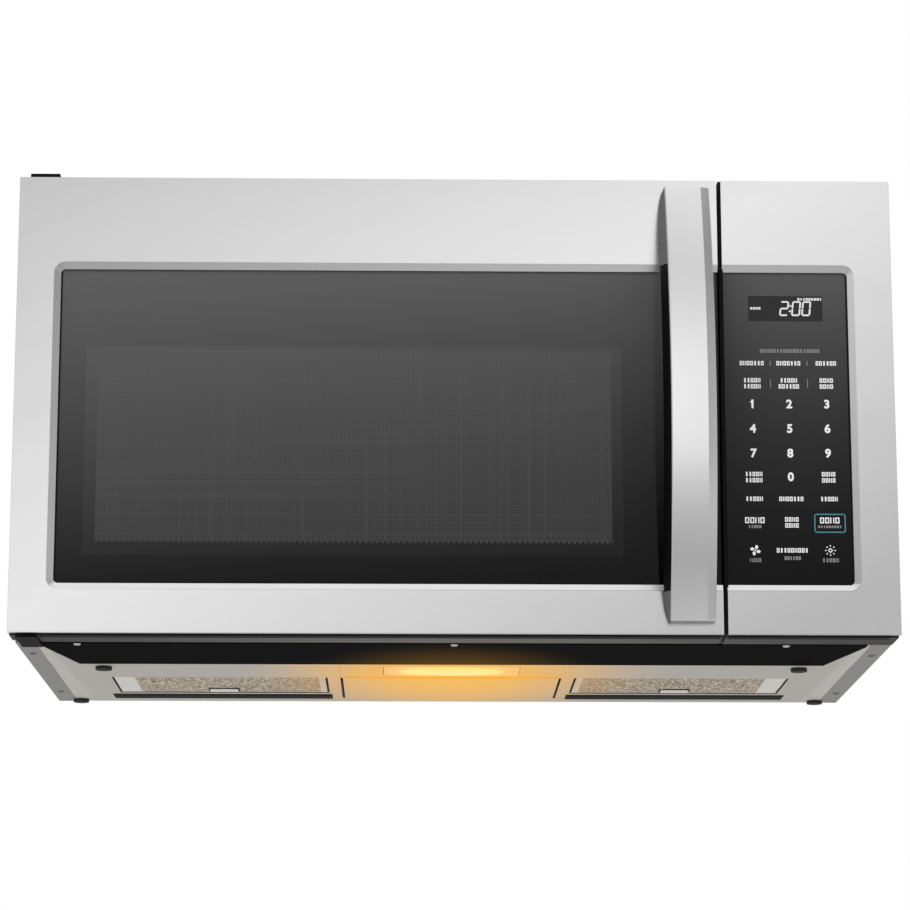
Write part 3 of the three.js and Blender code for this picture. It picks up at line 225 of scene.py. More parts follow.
soft_lamp("key_lamp", (-2.2, -3.2, 3.0), 34)
soft_lamp("top_lamp", (0.8, 0.6, 3.2), 18)

# %% [markdown]
# ## Helpers for finishes
# Colours are read from a picture as screen values from 0 to 255, but a shader wants linear light, so one
# small function turns the first into the second. Each finish is a material with one Principled shader, and a
# small class makes it and keeps the ways to add nodes to it in one place.

# %% Colour and material helpers
def tone(red, green=None, blue=None):
    """A linear colour from screen values of 0 to 255."""
    values = (red, red if green is None else green, red if blue is None else blue)
    linear = [(v / 255 / 12.92) if v < 10.3 else ((v / 255 + 0.055) / 1.055) ** 2.4 for v in values]
    return (*linear, 1)


def shifted(colour, by):
    """A linear colour from screen values that are all made lighter or darker."""
    return tone(*(min(255, max(0, part + by)) for part in colour))


class Finish:
    """A material with one shader, and short ways to add nodes to it."""

    def __init__(self, name, **sockets):
        self.material = bpy.data.materials.new(name)
        self.material.use_nodes = True
        self.tree = self.material.node_tree
        self.shader = self.tree.nodes["Principled BSDF"]
        self.place = self.add("ShaderNodeTexCoord").outputs["Object"]
        for socket, value in sockets.items():
            self.shader.inputs[socket.replace("_", " ")].default_value = value

    def add(self, kind, **settings):
        """A node with some of its settings."""
        node = self.tree.nodes.new(kind)
        for setting, value in settings.items():
            setattr(node, setting, value)
        return node

    def join(self, out, into):
        """A link from a node's output to an input, which may be the name of one of the shader's."""
        self.tree.links.new(out, self.shader.inputs[into] if isinstance(into, str) else into)

    def effect(self, group, **values):
        """A shared group, fed with object coordinates and this finish's own values."""
        node = self.add("ShaderNodeGroup", node_tree=group)
        self.join(self.place, node.inputs["Place"])
        for socket, value in values.items():
            node.inputs[socket.replace("_", " ")].default_value = value
        return node.outputs

    def blend(self, mask, first, second):
        """A colour between two others."""
        mix = self.add("ShaderNodeMix", data_type="RGBA")
        for value, socket in ((mask, mix.inputs["Factor"]), (first, mix.inputs["A"]), (second, mix.inputs["B"])):
            if hasattr(value, "is_output"):
                self.join(value, socket)
            else:
                socket.default_value = value
        return mix.outputs["Result"]

    def ramp(self, mask, low, high, start=0.0, end=1.0):
        """A value that runs from low to high as the mask goes from its start to its end."""
        node = self.add("ShaderNodeMapRange")
        for socket, value in (("From Min", start), ("From Max", end), ("To Min", low), ("To Max", high)):
            node.inputs[socket].default_value = value
        self.join(mask, node.inputs["Value"])
        return node.outputs["Result"]

    def bump(self, height, distance, strength=1.0):
        """Small relief from a height."""
        node = self.add("ShaderNodeBump")
        node.inputs["Distance"].default_value = distance
        node.inputs["Strength"].default_value = strength
        self.join(height, node.inputs["Height"])
        self.join(node.outputs["Normal"], "Normal")


print("mid grey is", round(tone(128)[0], 3), "in linear light")

# %% [markdown]
# The floor lies far below, as a kitchen's does, because the oven hangs on a wall and the camera has to see
# its underside. It glows a little to the camera, so that it joins the white backdrop. In a reflection it is
# a set of rings about the oven, dimmer in the middle, which the lower half of the handle shows.

# %% Floor
FLOOR_LEVEL, FLOOR_HALF = -0.9, 30
FLOOR_GLOW = 0.5
# How bright the floor looks in a reflection, from under the oven (0) to RING_REACH metres away (1)
FLOOR_RINGS = ((0.23, 0.78), (0.3, 0.56), (0.39, 0.5), (0.65, 0.72), (0.9, 0.95))
RING_REACH = 8.0

stage = bmesh.new()
bmesh.ops.create_grid(stage, x_segments=1, y_segments=1, size=FLOOR_HALF,
                      matrix=Matrix.Translation((0, 0, FLOOR_LEVEL)))
floor_mesh = bpy.data.meshes.new("floor")
stage.to_mesh(floor_mesh)
stage.free()
floor = bpy.data.objects.new("floor", floor_mesh)
bpy.context.scene.collection.objects.link(floor)
floor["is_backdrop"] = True

pale = Finish("pale_floor", Roughness=0.9, Emission_Color=(1, 1, 1, 1))
away = pale.add("ShaderNodeVectorMath", operation="LENGTH")
pale.join(pale.place, away.inputs[0])
rings = pale.add("ShaderNodeValToRGB")
set_stops(rings, FLOOR_RINGS)
pale.join(pale.ramp(away.outputs["Value"], 0.0, 1.0, end=RING_REACH), rings.inputs["Fac"])
seen_by = pale.add("ShaderNodeLightPath").outputs
pale.join(pale.blend(seen_by["Is Glossy Ray"], (0.82, 0.82, 0.82, 1), rings.outputs["Color"]), "Base Color")
pale.join(pale.ramp(seen_by["Is Camera Ray"], 0.0, FLOOR_GLOW), "Emission Strength")
floor_mesh.materials.append(pale.material)
print("floor at", FLOOR_LEVEL, "m")

# %% [markdown]
# ## Effects that several finishes share
# Rolled and brushed steel, painted sheet and moulded plastic all owe their look to grain at some scale, and
# all of them are a little paler at their edges, as a painted highlight and as wear where they have been
# handled. Each effect is a node group, made once, with named sockets, so that every finish can use it at its
# own scale.

# %% Node group helpers
def effect_group(name, inputs, outputs):
    """An empty node group with named sockets, and its two end nodes."""
    group = bpy.data.node_groups.new(name, "ShaderNodeTree")
    group.interface.new_socket("Place", in_out="INPUT", socket_type="NodeSocketVector")
    for label, value in inputs.items():
        socket = group.interface.new_socket(label, in_out="INPUT", socket_type="NodeSocketFloat")
        socket.default_value = value
    for label in outputs:
        group.interface.new_socket(label, in_out="OUTPUT", socket_type="NodeSocketFloat")
    start = group.nodes.new("NodeGroupInput")
    end = group.nodes.new("NodeGroupOutput")
    return group, start, end


def scaled_place(group, start, stretch):
    """The group's place, stretched along each axis."""
    mapping = group.nodes.new("ShaderNodeMapping")
    mapping.inputs["Scale"].default_value = stretch
    group.links.new(start.outputs["Place"], mapping.inputs["Vector"])
    return mapping.outputs["Vector"]


def place_parts(group, start):
    """The group's place, split into X, Y and Z."""
    parts = group.nodes.new("ShaderNodeSeparateXYZ")
    group.links.new(start.outputs["Place"], parts.inputs[0])
    return parts.outputs


def group_math(group, operation, *values):
    """One sum inside a group. Numbers and sockets both do."""
    node = group.nodes.new("ShaderNodeMath")
    node.operation = operation
    for value, socket in zip(values, node.inputs):
        if hasattr(value, "is_output"):
            group.links.new(value, socket)
        else:
            socket.default_value = value
    return node.outputs[0]


def share_of(group, value, start, length):
    """How far a value lies from a start, in lengths."""
    return group_math(group, "DIVIDE", group_math(group, "SUBTRACT", value, start), length)


def group_fade(group, value, full, gone, kind="LINEAR"):
    """A mask that is 1 up to one value and fades to 0 at another."""
    fade = group.nodes.new("ShaderNodeMapRange")
    fade.interpolation_type = kind
    for socket, setting in (("From Min", full), ("From Max", gone), ("To Min", 1.0), ("To Max", 0.0)):
        fade.inputs[socket].default_value = setting
    group.links.new(value, fade.inputs["Value"])
    return fade.outputs["Result"]


print("effects so far:", len(bpy.data.node_groups))

# %% [markdown]
# Brushed steel carries fine parallel scratches. Noise that is stretched a hundred times along the rolling
# direction draws them, and a second, broader noise makes some bands a touch duller than others.

# %% Brushed grain
def brushed_grain(name, stretch):
    """Scratches along the axis with the smallest stretch."""
    group, start, end = effect_group(name, {"Scale": 1.0}, ("Scratch", "Band"))
    place = scaled_place(group, start, stretch)
    fine = group.nodes.new("ShaderNodeTexNoise")
    fine.inputs["Detail"].default_value = 2.0
    group.links.new(place, fine.inputs["Vector"])
    group.links.new(start.outputs["Scale"], fine.inputs["Scale"])
    broad = group.nodes.new("ShaderNodeTexNoise")
    broad.inputs["Scale"].default_value = 0.02
    broad.inputs["Detail"].default_value = 1.0
    group.links.new(place, broad.inputs["Vector"])
    group.links.new(fine.outputs[0], end.inputs["Scratch"])
    group.links.new(broad.outputs[0], end.inputs["Band"])
    return group


across_grain = brushed_grain("grain_across", (12, 1200, 1200))
upright_grain = brushed_grain("grain_upright", (1200, 1200, 12))
print("grain groups:", across_grain.name, upright_grain.name)

# %% [markdown]
# Paint and moulded plastic have a fine orange-peel, and every surface that is cleaned by hand has a faint
# unevenness of gloss. One group gives both: a small grain and a large, slow smudge.

# %% Fine grain and smudge
fine_grain, grain_start, grain_end = effect_group(
    "fine_grain", {"Grain Scale": 900.0, "Smudge Scale": 9.0}, ("Grain", "Smudge"))
for label in ("Grain", "Smudge"):
    speck = fine_grain.nodes.new("ShaderNodeTexNoise")
    speck.inputs["Detail"].default_value = 3.0
    fine_grain.links.new(grain_start.outputs["Place"], speck.inputs["Vector"])
    fine_grain.links.new(grain_start.outputs[f"{label} Scale"], speck.inputs["Scale"])
    fine_grain.links.new(speck.outputs[0], grain_end.inputs[label])
print("fine grain has", len(fine_grain.nodes), "nodes")

# %% [markdown]
# An edge catches light because it is slightly round and because wear polishes it. The Bevel node pretends
# that edges are round; where its normal leaves the true one, there is an edge.

# %% Edge mask
edge_mask, edge_start, edge_end = effect_group("edge_mask", {"Radius": 0.001}, ("Edge",))
rounded = edge_mask.nodes.new("ShaderNodeBevel")
rounded.samples = 4
edge_mask.links.new(edge_start.outputs["Radius"], rounded.inputs["Radius"])
true_side = edge_mask.nodes.new("ShaderNodeNewGeometry")
agreement = edge_mask.nodes.new("ShaderNodeVectorMath")
agreement.operation = "DOT_PRODUCT"
edge_mask.links.new(rounded.outputs[0], agreement.inputs[0])
edge_mask.links.new(true_side.outputs["Normal"], agreement.inputs[1])
turned = group_math(edge_mask, "SUBTRACT", 1.0, agreement.outputs["Value"])
widened = group_math(edge_mask, "MULTIPLY", turned, 4.0)
edge_mask.links.new(group_math(edge_mask, "MINIMUM", widened, 1.0), edge_end.inputs["Edge"])
print("edge mask ready")

# %% [markdown]
# The steel is brightest along a line from its lower left to its upper right corner and falls off on both
# sides. That broad shift of tone is a painted reflection in the sheet's colour, so it stays on the front when
# the door swings. The lower slope of the recess faces up to the light and keeps its brightness from end to
# end.

# %% Painted reflection on the steel
# The ridge is the bright line of the painted reflection, and the steel is painted darkest at RIDGE_FALL from it.
RIDGE_RISE = 0.586  # the bright ridge climbs this much for each step to the right
RIDGE_FALL = 0.52  # metres above the ridge at which the steel is dullest
FALL_BELOW = -1.3  # under the ridge it dulls faster by this much
steel_reflection_paint, slope_start, slope_end = effect_group("steel_reflection_paint", {}, ("Reflection Falloff",))
spot = place_parts(steel_reflection_paint, slope_start)
across = share_of(steel_reflection_paint, spot["X"], FRONT["left"] + 11 * MM, RIDGE_FALL)
above = share_of(steel_reflection_paint, spot["Z"], FRONT["low"] + 15 * MM, RIDGE_FALL)
over_ridge = group_math(steel_reflection_paint, "SUBTRACT", above, group_math(steel_reflection_paint, "MULTIPLY", across, RIDGE_RISE))
under_ridge = group_math(steel_reflection_paint, "MULTIPLY", over_ridge, FALL_BELOW)
away = group_math(steel_reflection_paint, "MAXIMUM", over_ridge, under_ridge)
low_slope = group_math(steel_reflection_paint, "MULTIPLY",
                       group_math(steel_reflection_paint, "GREATER_THAN", spot["Y"], FACE + 0.4 * MM),
                       group_math(steel_reflection_paint, "LESS_THAN", spot["Z"], RECESS["low"] + SLOPE_WIDTH + 1 * MM))
elsewhere = group_math(steel_reflection_paint, "SUBTRACT", 1.0, low_slope)
steel_reflection_paint.links.new(group_math(steel_reflection_paint, "MULTIPLY", away, elsewhere), slope_end.inputs["Reflection Falloff"])
print("steel is dullest", RIDGE_FALL, "m from the ridge")

# %% [markdown]
# The glass is palest at its upper left and nearly black along its foot. That is a painted reflection in its
# colour, so it is a mask too: it rises with height, and more steeply on the right than on the left.

# %% Painted reflection on the glass
REFLECTION_FOOT, REFLECTION_RISE = 19 * MM, 0.3  # where the glass starts to turn paler, and over how many metres it does
REFLECTION_LEFT, REFLECTION_RUN = FRONT["left"] + 32 * MM, 0.6  # the same from left to right
glass_reflection_paint, glass_refl_start, glass_refl_end = effect_group("glass_reflection_paint", {}, ("Tint",))
spot = place_parts(glass_reflection_paint, glass_refl_start)
height = group_math(glass_reflection_paint, "MAXIMUM", share_of(glass_reflection_paint, spot["Z"], REFLECTION_FOOT, REFLECTION_RISE), 0.0)
rightwards = share_of(glass_reflection_paint, spot["X"], REFLECTION_LEFT, REFLECTION_RUN)
steepness = group_math(glass_reflection_paint, "MULTIPLY_ADD", rightwards, 0.95, 1.15)
curved = group_math(glass_reflection_paint, "POWER", height, steepness)
darker = group_math(glass_reflection_paint, "MULTIPLY", rightwards, 0.13)
glass_reflection_paint.links.new(group_math(glass_reflection_paint, "MULTIPLY", curved, group_math(glass_reflection_paint, "SUBTRACT", 1.0, darker)),
                      glass_refl_end.inputs["Tint"])
print("slopes:", steel_reflection_paint.name, glass_reflection_paint.name)

# %% [markdown]
# The cooktop lamp is lit. Its warm light spills over the pan around it and fades within a hand's width. The
# spill belongs to the painted sheets near the lamp, so it is a soft round mask about the lamp's middle.

# %% Spill of the cooktop lamp
SPILL_FADE = (0.15, 0.95)  # full up to the first and gone at the second, in reaches from the lamp's middle
SPILL_HEIGHTS = (14 * MM, 40 * MM)  # only the lowest sheets catch it
lamp_low, lamp_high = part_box("lamp_lens")
lamp_middle = (lamp_low + lamp_high) / 2
lamp_spill, spill_start, spill_end = effect_group(
    "lamp_spill", {"Reach Across": 0.19, "Reach Back": 0.16}, ("Spill",))
spot = place_parts(lamp_spill, spill_start)
squares = []
for axis, middle, reach in (("X", lamp_middle.x, "Reach Across"), ("Y", lamp_middle.y, "Reach Back")):
    share = share_of(lamp_spill, spot[axis], middle, spill_start.outputs[reach])
    squares.append(group_math(lamp_spill, "MULTIPLY", share, share))
spread = group_math(lamp_spill, "SQRT", group_math(lamp_spill, "ADD", *squares))
near = group_fade(lamp_spill, spread, *SPILL_FADE, kind="SMOOTHSTEP")
low_down = group_fade(lamp_spill, spot["Z"], *SPILL_HEIGHTS)
lamp_spill.links.new(group_math(lamp_spill, "MULTIPLY", near, low_down), spill_end.inputs["Spill"])
print("lamp at", [round(at, 3) for at in lamp_middle])

# %% [markdown]
# ## Stainless steel
# The front, the handle and the screws. It is a metal, so its colour sits in the reflection; the scratches
# vary its roughness and, very slightly, its relief. All greys are screen values from 0 to 255.

# %% Stainless finishes
# The dull parts are where the painted reflection darkens the steel away from its ridge.
BAND_SHIFT, REFLECTION_DARK_SHIFT, SCRATCH_SHIFT = 5, 52, 90  # how much darker the bands, the dull parts and scratches are
EDGE_GREY = 246


def steel_finish(name, grain, colour, roughness, with_reflection_paint=False):
    """Brushed steel. With the painted reflection, its colour is darker away from the bright ridge of the front."""
    steel = Finish(name, Metallic=1.0)
    brush = steel.effect(grain)
    edge = steel.effect(edge_mask, Radius=0.6 * MM)["Edge"]
    base = steel.blend(brush["Band"], tone(colour - BAND_SHIFT), tone(min(255, colour + BAND_SHIFT)))
    if with_reflection_paint:
        # Painted reflection: the colour darkens away from the front's bright ridge.
        base = steel.blend(steel.effect(steel_reflection_paint)["Reflection Falloff"], base, tone(colour - REFLECTION_DARK_SHIFT))
    base = steel.blend(steel.ramp(brush["Scratch"], 0.08, 0.0), base, tone(colour - SCRATCH_SHIFT))
    # Painted highlight and wear: the edges turn paler.
    base = steel.blend(steel.ramp(edge, 0.0, 0.5), base, tone(EDGE_GREY))
    steel.join(base, "Base Color")
    steel.join(steel.ramp(brush["Scratch"], roughness - 0.02, roughness + 0.03), "Roughness")
    steel.bump(brush["Scratch"], 0.02 * MM, 0.1)
    return steel.material


front_steel = steel_finish("front_steel", across_grain, 241, 0.26, with_reflection_paint=True)
handle_steel = steel_finish("handle_steel", upright_grain, 240, 0.24)
screw_steel = steel_finish("screw_steel", across_grain, 215, 0.32)
# A darker copy of the screw steel, as painted shade of the dimples that the flange screws sit in.
shaded_screw_steel = steel_finish("shaded_screw_steel", across_grain, 120, 0.36)
print("steel:", front_steel.name, handle_steel.name, screw_steel.name, shaded_screw_steel.name)

# %% [markdown]
# ## Dark glass
# The door's glass and the control panel's are dark, and a painted reflection makes them paler at the top. The
# window is a perforated sheet seen through the glass: a slightly lighter rectangle with a fine grid of holes.
# Masks from object coordinates draw it, because at this scale the holes are smaller than a pixel of the
# picture. The first mask is a rectangle, and it is used for the window, for its grid and for the dark line at
# the edge.

# %% Rectangle
rectangle, rect_start, rect_end = effect_group(
    "rectangle", {"Left": 0.0, "Right": 1.0, "Low": 0.0, "High": 1.0}, ("Inside",))
spot = place_parts(rectangle, rect_start)
inside = 1.0
for axis, operation, limit in (("X", "GREATER_THAN", "Left"), ("X", "LESS_THAN", "Right"),
                               ("Z", "GREATER_THAN", "Low"), ("Z", "LESS_THAN", "High")):
    test = group_math(rectangle, operation, spot[axis], rect_start.outputs[limit])
    inside = group_math(rectangle, "MULTIPLY", inside, test)
rectangle.links.new(inside, rect_end.inputs["Inside"])
print(rectangle.name, "has", len(rectangle.nodes), "nodes")

# %% [markdown]
# The sheet's holes are round and stand in rows, so a Voronoi texture without any randomness places them. Two
# stretched noises laid over each other give the faint plaid that such a sheet shows at a distance, and its
# lowest row of holes ends in small teeth.

# %% Holes, plaid and teeth of the window
holes, holes_start, holes_end = effect_group("holes", {"Per Metre": 420.0, "Size": 0.33}, ("Hole",))
upright_view = holes.nodes.new("ShaderNodeMapping")
upright_view.inputs["Rotation"].default_value = (math.radians(-90), 0, 0)
holes.links.new(holes_start.outputs["Place"], upright_view.inputs["Vector"])
cells = holes.nodes.new("ShaderNodeTexVoronoi")
cells.voronoi_dimensions = "2D"
cells.inputs["Randomness"].default_value = 0.0
holes.links.new(upright_view.outputs["Vector"], cells.inputs["Vector"])
holes.links.new(holes_start.outputs["Per Metre"], cells.inputs["Scale"])
holes.links.new(group_math(holes, "LESS_THAN", cells.outputs["Distance"], holes_start.outputs["Size"]),
                holes_end.inputs["Hole"])

plaid, plaid_start, plaid_end = effect_group("plaid", {}, ("Line",))
plaid_lines = []
for stretch in ((420, 0, 2), (2, 0, 420)):
    line = plaid.nodes.new("ShaderNodeTexNoise")
    line.inputs["Scale"].default_value = 0.7
    line.inputs["Detail"].default_value = 1.0
    plaid.links.new(scaled_place(plaid, plaid_start, stretch), line.inputs["Vector"])
    plaid_lines.append(line.outputs[0])
plaid.links.new(group_math(plaid, "MAXIMUM", *plaid_lines), plaid_end.inputs["Line"])

scallops, scallops_start, scallops_end = effect_group("scallops", {"Pitch": 0.0047}, ("Tooth",))
turns = group_math(scallops, "DIVIDE", place_parts(scallops, scallops_start)["X"], scallops_start.outputs["Pitch"])
scallops.links.new(group_math(scallops, "GREATER_THAN", group_math(scallops, "FRACT", turns), 0.5),
                   scallops_end.inputs["Tooth"])
print("glass effects:", rectangle.name, holes.name, plaid.name, scallops.name)

# %% [markdown]
# Both glasses are one finish, and the door's has the window too. It is built up like the real one, from the
# back: the tint with its painted reflection, the screen's frame, its grid with holes, plaid and teeth, and last
# the dark line where the glass meets the steel. A faint smudge varies the gloss.

# %% Dark glass finishes
EDGE_LINE = 1.3 * MM
VISIBLE = {"Left": RECESS["left"] + SLOPE_WIDTH + EDGE_LINE, "Right": RECESS["right"] - SLOPE_WIDTH - EDGE_LINE,
           "Low": RECESS["low"] + SLOPE_WIDTH + EDGE_LINE, "High": RECESS["high"] - SLOPE_WIDTH}
WINDOW = {"Left": -318.6 * MM, "Right": 144.0 * MM, "Low": 71.6 * MM, "High": 255.9 * MM}
GRID = {"Left": -308.0 * MM, "Right": 134.5 * MM, "Low": 84.3 * MM, "High": 252.0 * MM}
GRID_TEETH = {**GRID, "Low": GRID["Low"] - 1.6 * MM, "High": GRID["Low"]}


def dark_glass(name, windowed):
    """Tinted glass with a painted reflection, and the perforated screen behind it if it is a window."""
    glass = Finish(name, Specular_IOR_Level=0.12, IOR=1.5)
    fade = glass.effect(glass_reflection_paint)["Tint"]

    def reflected_grey(foot, top):
        """A grey that turns paler with the glass's painted reflection."""
        return glass.blend(fade, tone(foot), tone(top))

    # Painted reflection: the dark tint turns paler towards the top and the left.
    tint = reflected_grey(4, 107)
    if windowed:
        tint = glass.blend(glass.effect(rectangle, **WINDOW)["Inside"], tint, reflected_grey(23, 114))
        screen = glass.blend(glass.effect(holes)["Hole"], reflected_grey(66, 116), reflected_grey(46, 99))
        screen = glass.blend(glass.ramp(glass.effect(plaid)["Line"], -0.4, 0.45), screen, tone(100))
        tint = glass.blend(glass.effect(rectangle, **GRID)["Inside"], tint, screen)
        teeth = glass.add("ShaderNodeMath", operation="MULTIPLY")
        glass.join(glass.effect(rectangle, **GRID_TEETH)["Inside"], teeth.inputs[0])
        glass.join(glass.effect(scallops)["Tooth"], teeth.inputs[1])
        tint = glass.blend(teeth.outputs[0], tint, tone(72))
    glass.join(glass.blend(glass.effect(rectangle, **VISIBLE)["Inside"], tone(2), tint), "Base Color")
    wipe = glass.effect(fine_grain, Smudge_Scale=6.0)["Smudge"]
    glass.join(glass.ramp(wipe, 0.04, 0.10), "Roughness")
    return glass.material


door_glass_finish = dark_glass("door_glass_finish", True)
panel_glass_finish = dark_glass("panel_glass_finish", False)
print("glass:", door_glass_finish.name, panel_glass_finish.name)

# %% [markdown]
# ## Paint, plastic, rubber and sheet
# The pan's sides are folded up to the cabinet, and the fold's face catches the light as a paler band that
# widens to the rear. The sheet is level in the model, so the band is painted light: a mask, measured inwards
# from the pan's two sides.

# %% Painted light on the folded sides of the pan
FOLD_FRONT, FOLD_SPREAD = 8 * MM, 0.03  # how far the fold reaches in at the front, and how fast it widens
pan_low, pan_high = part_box("base_pan")
pan_fold_light, fold_start, fold_end = effect_group("pan_fold_light", {}, ("Fold Light",))
spot = place_parts(pan_fold_light, fold_start)
inwards = group_math(pan_fold_light, "SUBTRACT", pan_high.x, group_math(pan_fold_light, "ABSOLUTE", spot["X"]))
from_front = group_math(pan_fold_light, "SUBTRACT", spot["Y"], pan_low.y)
reach_of_fold = group_math(pan_fold_light, "MULTIPLY_ADD", from_front, FOLD_SPREAD, FOLD_FRONT)
past_fold = group_math(pan_fold_light, "DIVIDE", inwards, reach_of_fold)
pan_fold_light.links.new(group_fade(pan_fold_light, past_fold, 0.7, 1.25, kind="SMOOTHSTEP"), fold_end.inputs["Fold Light"])
print("pan is", round(pan_high.x - pan_low.x, 4), "m wide")

# %% [markdown]
# The quiet finishes differ in colour, gloss and grain only, so one function makes them all. Edges are a
# little paler, as a painted highlight and as wear where the coating is thin. Sheets near the lamp take its
# spill as a tint and a weak glow.

# %% Function for plain finishes
FOLD_LIGHT_SHIFT = 14
GLITTER_DARK, GLITTER_PALE = -58, 42
GLITTER_START, GLITTER_END = 0.42, 0.6


def plain_finish(name, colour, roughness, grain=900.0, relief=0.03, metal=0.0, edge=18, spread=5, shine=0.5,
                 spill=None, with_fold_light=False, glitter=False):
    """A coated finish. A spill is its reach across and back, its tint and its light, for sheets by the lamp."""
    paint = Finish(name, Metallic=metal, Specular_IOR_Level=shine)
    speck = paint.effect(fine_grain, Grain_Scale=grain)
    edge_wear_and_highlight = paint.effect(edge_mask, Radius=0.7 * MM)["Edge"]
    base = paint.blend(speck["Smudge"], shifted(colour, -spread), shifted(colour, spread))
    # Painted highlight and wear: the edges turn paler.
    base = paint.blend(paint.ramp(edge_wear_and_highlight, 0.0, 0.6), base, shifted(colour, edge))
    if glitter:
        # Painted glints: dark and pale specks in the colour, where the crumpled mesh would catch the light.
        glints = paint.ramp(speck["Grain"], 0.0, 1.0, GLITTER_START, GLITTER_END)
        base = paint.blend(glints, shifted(colour, GLITTER_DARK), shifted(colour, GLITTER_PALE))
    if with_fold_light:
        # Painted light: the lit face of the pan's fold, as a paler band along its sides.
        base = paint.blend(paint.effect(pan_fold_light)["Fold Light"], base, shifted(colour, FOLD_LIGHT_SHIFT))
    if spill:
        across, back, tint, light = spill
        pool = paint.effect(lamp_spill, Reach_Across=across, Reach_Back=back)["Spill"]
        base = paint.blend(pool, base, (*tint, 1))
        paint.join(paint.blend(pool, (0, 0, 0, 1), (*light, 1)), "Emission Color")
        paint.shader.inputs["Emission Strength"].default_value = 1.0
    paint.join(base, "Base Color")
    paint.join(paint.ramp(speck["Grain"], roughness - 0.08, roughness + 0.08), "Roughness")
    paint.bump(speck["Grain"], relief * MM, 0.6)
    return paint.material


print("glitter runs over", round(GLITTER_END - GLITTER_START, 2), "of the grain")

# %% [markdown]
# Each slot of the record gets its finish here: screen colour, roughness, grain per metre and relief in
# millimetres. A few nodes get one of their own, such as the air panel, which is flat black and lies nearest
# to the lamp.

# %% Plain finishes
SPILL_TINT, SPILL_LIGHT = (0.6, 0.3, 0.02), (0.52, 0.264, 0.024)
PAN_SPILL = (0.22, 0.34, SPILL_TINT, SPILL_LIGHT)
PAD_SPILL = (0.22, 0.34, SPILL_TINT, tuple(0.5 * light for light in SPILL_LIGHT))

finishes = {
    "stainless": front_steel,
    "dark_glass": door_glass_finish,
    "black_plastic": plain_finish("black_plastic", (40, 40, 41), 0.5, 1400, 0.05),
    "white_plastic": plain_finish("white_plastic", (232, 231, 226), 0.4, 1200),
    "circuit_board": plain_finish("circuit_board", (38, 96, 66), 0.35, 300, 0.1),
    "black_paint": plain_finish("black_paint", (25, 25, 26), 0.6, shine=0.06, edge=8),
    "pan_paint": plain_finish("pan_paint", (208, 204, 195), 0.42, 700, with_fold_light=True, spill=PAN_SPILL),
    "dark_sheet": plain_finish("dark_sheet", (160, 159, 157), 0.5, 800, shine=0.3, edge=14),
    "zinc_sheet": plain_finish("zinc_sheet", (200, 202, 202), 0.44, 60, 0.01, metal=0.8),
    "oven_enamel": plain_finish("oven_enamel", (205, 203, 197), 0.3, 500),
    "core_iron": plain_finish("core_iron", (120, 110, 98), 0.5, 400, 0.08, metal=0.4, spread=16),
    "filter_metal": plain_finish("filter_metal", (205, 198, 182), 0.4, 500, 0.05, metal=0.6),
    "foot_rubber": plain_finish("foot_rubber", (30, 30, 30), 0.75, 1600, 0.06),
    "mica_sheet": plain_finish("mica_sheet", (205, 190, 150), 0.5, 260, 0.04, spread=18),
}
air_black = plain_finish("air_black", (18, 18, 18), 0.6, 900, shine=0.004, edge=5, spread=2,
                         spill=(0.15, 0.17, (0.01, 0.008, 0.005), (0.08, 0.042, 0.005)))
rim_black = plain_finish("rim_black", (48, 48, 48), 0.5, 1400, 0.05, shine=0.3,
                         spill=(0.4, 0.6, (0.1, 0.094, 0.085), (0.035, 0.031, 0.024)))
weave_metal = plain_finish("weave_metal", (206, 192, 170), 0.45, 380, 0.4, metal=0.2, spread=8, glitter=True,
                           spill=PAD_SPILL)
strip_metal = plain_finish("strip_metal", (250, 247, 240), 0.4, 500, 0.02, spill=PAD_SPILL)
print(len(finishes), "plain finishes")

# %% [markdown]
# Clear glass and the lit lamp cover need light to pass or to shine. The cover's colour is warm, and its
# glow is strongest over the bulb.

# %% Clear and lit finishes
def clear_finish(name, colour, roughness):
    """Clear glass with a slight haze."""
    clear = Finish(name, Transmission_Weight=1.0, IOR=1.47)
    haze = clear.effect(fine_grain, Smudge_Scale=14.0)["Smudge"]
    clear.join(clear.blend(haze, shifted(colour, -6), tone(*colour)), "Base Color")
    clear.join(clear.ramp(haze, roughness, roughness + 0.06), "Roughness")
    return clear.material


finishes["clear_pane"] = clear_finish("clear_pane", (190, 194, 196), 0.03)
finishes["tray_glass"] = clear_finish("tray_glass", (228, 240, 236), 0.04)

lit = Finish("lamp_glass", Roughness=0.35, Emission_Strength=0.8)
ribs = lit.effect(fine_grain, Grain_Scale=500.0, Smudge_Scale=20.0)
lit.join(lit.blend(ribs["Smudge"], tone(214, 160, 80), tone(226, 178, 100)), "Base Color")
lit.join(lit.blend(ribs["Smudge"], tone(252, 206, 108), tone(255, 226, 140)), "Emission Color")
lit.bump(ribs["Grain"], 0.05 * MM)
finishes["lamp_glass"] = lit.material
print(len(finishes), "finishes in all")

# %% [markdown]
# The CAD nodes come with plain colours. The record names a slot for each, so one loop gives them all their
# finish, and the few that differ from their slot are listed by name.

# %% Give every CAD node its finish
OWN_FINISH = {"control_glass": panel_glass_finish, "door_handle": handle_steel, "air_panel": air_black,
              "door_inner_frame": rim_black, "control_housing": rim_black}
for part in frame["record"]["subparts"]:
    finish = OWN_FINISH.get(part["node"], finishes[part["material_slot"]])
    for place_of_finish in frame["nodes"][part["node"]].material_slots:
        place_of_finish.material = finish

# %% [markdown]
# ## Making a piece
# Each new piece is shaped in a bmesh, in its true place, and then becomes an object that sits at the
# origin. It rides on a body, takes the finish that it is given, and may stand for a CAD node.

# %% Piece helper
SHARP = math.radians(32)


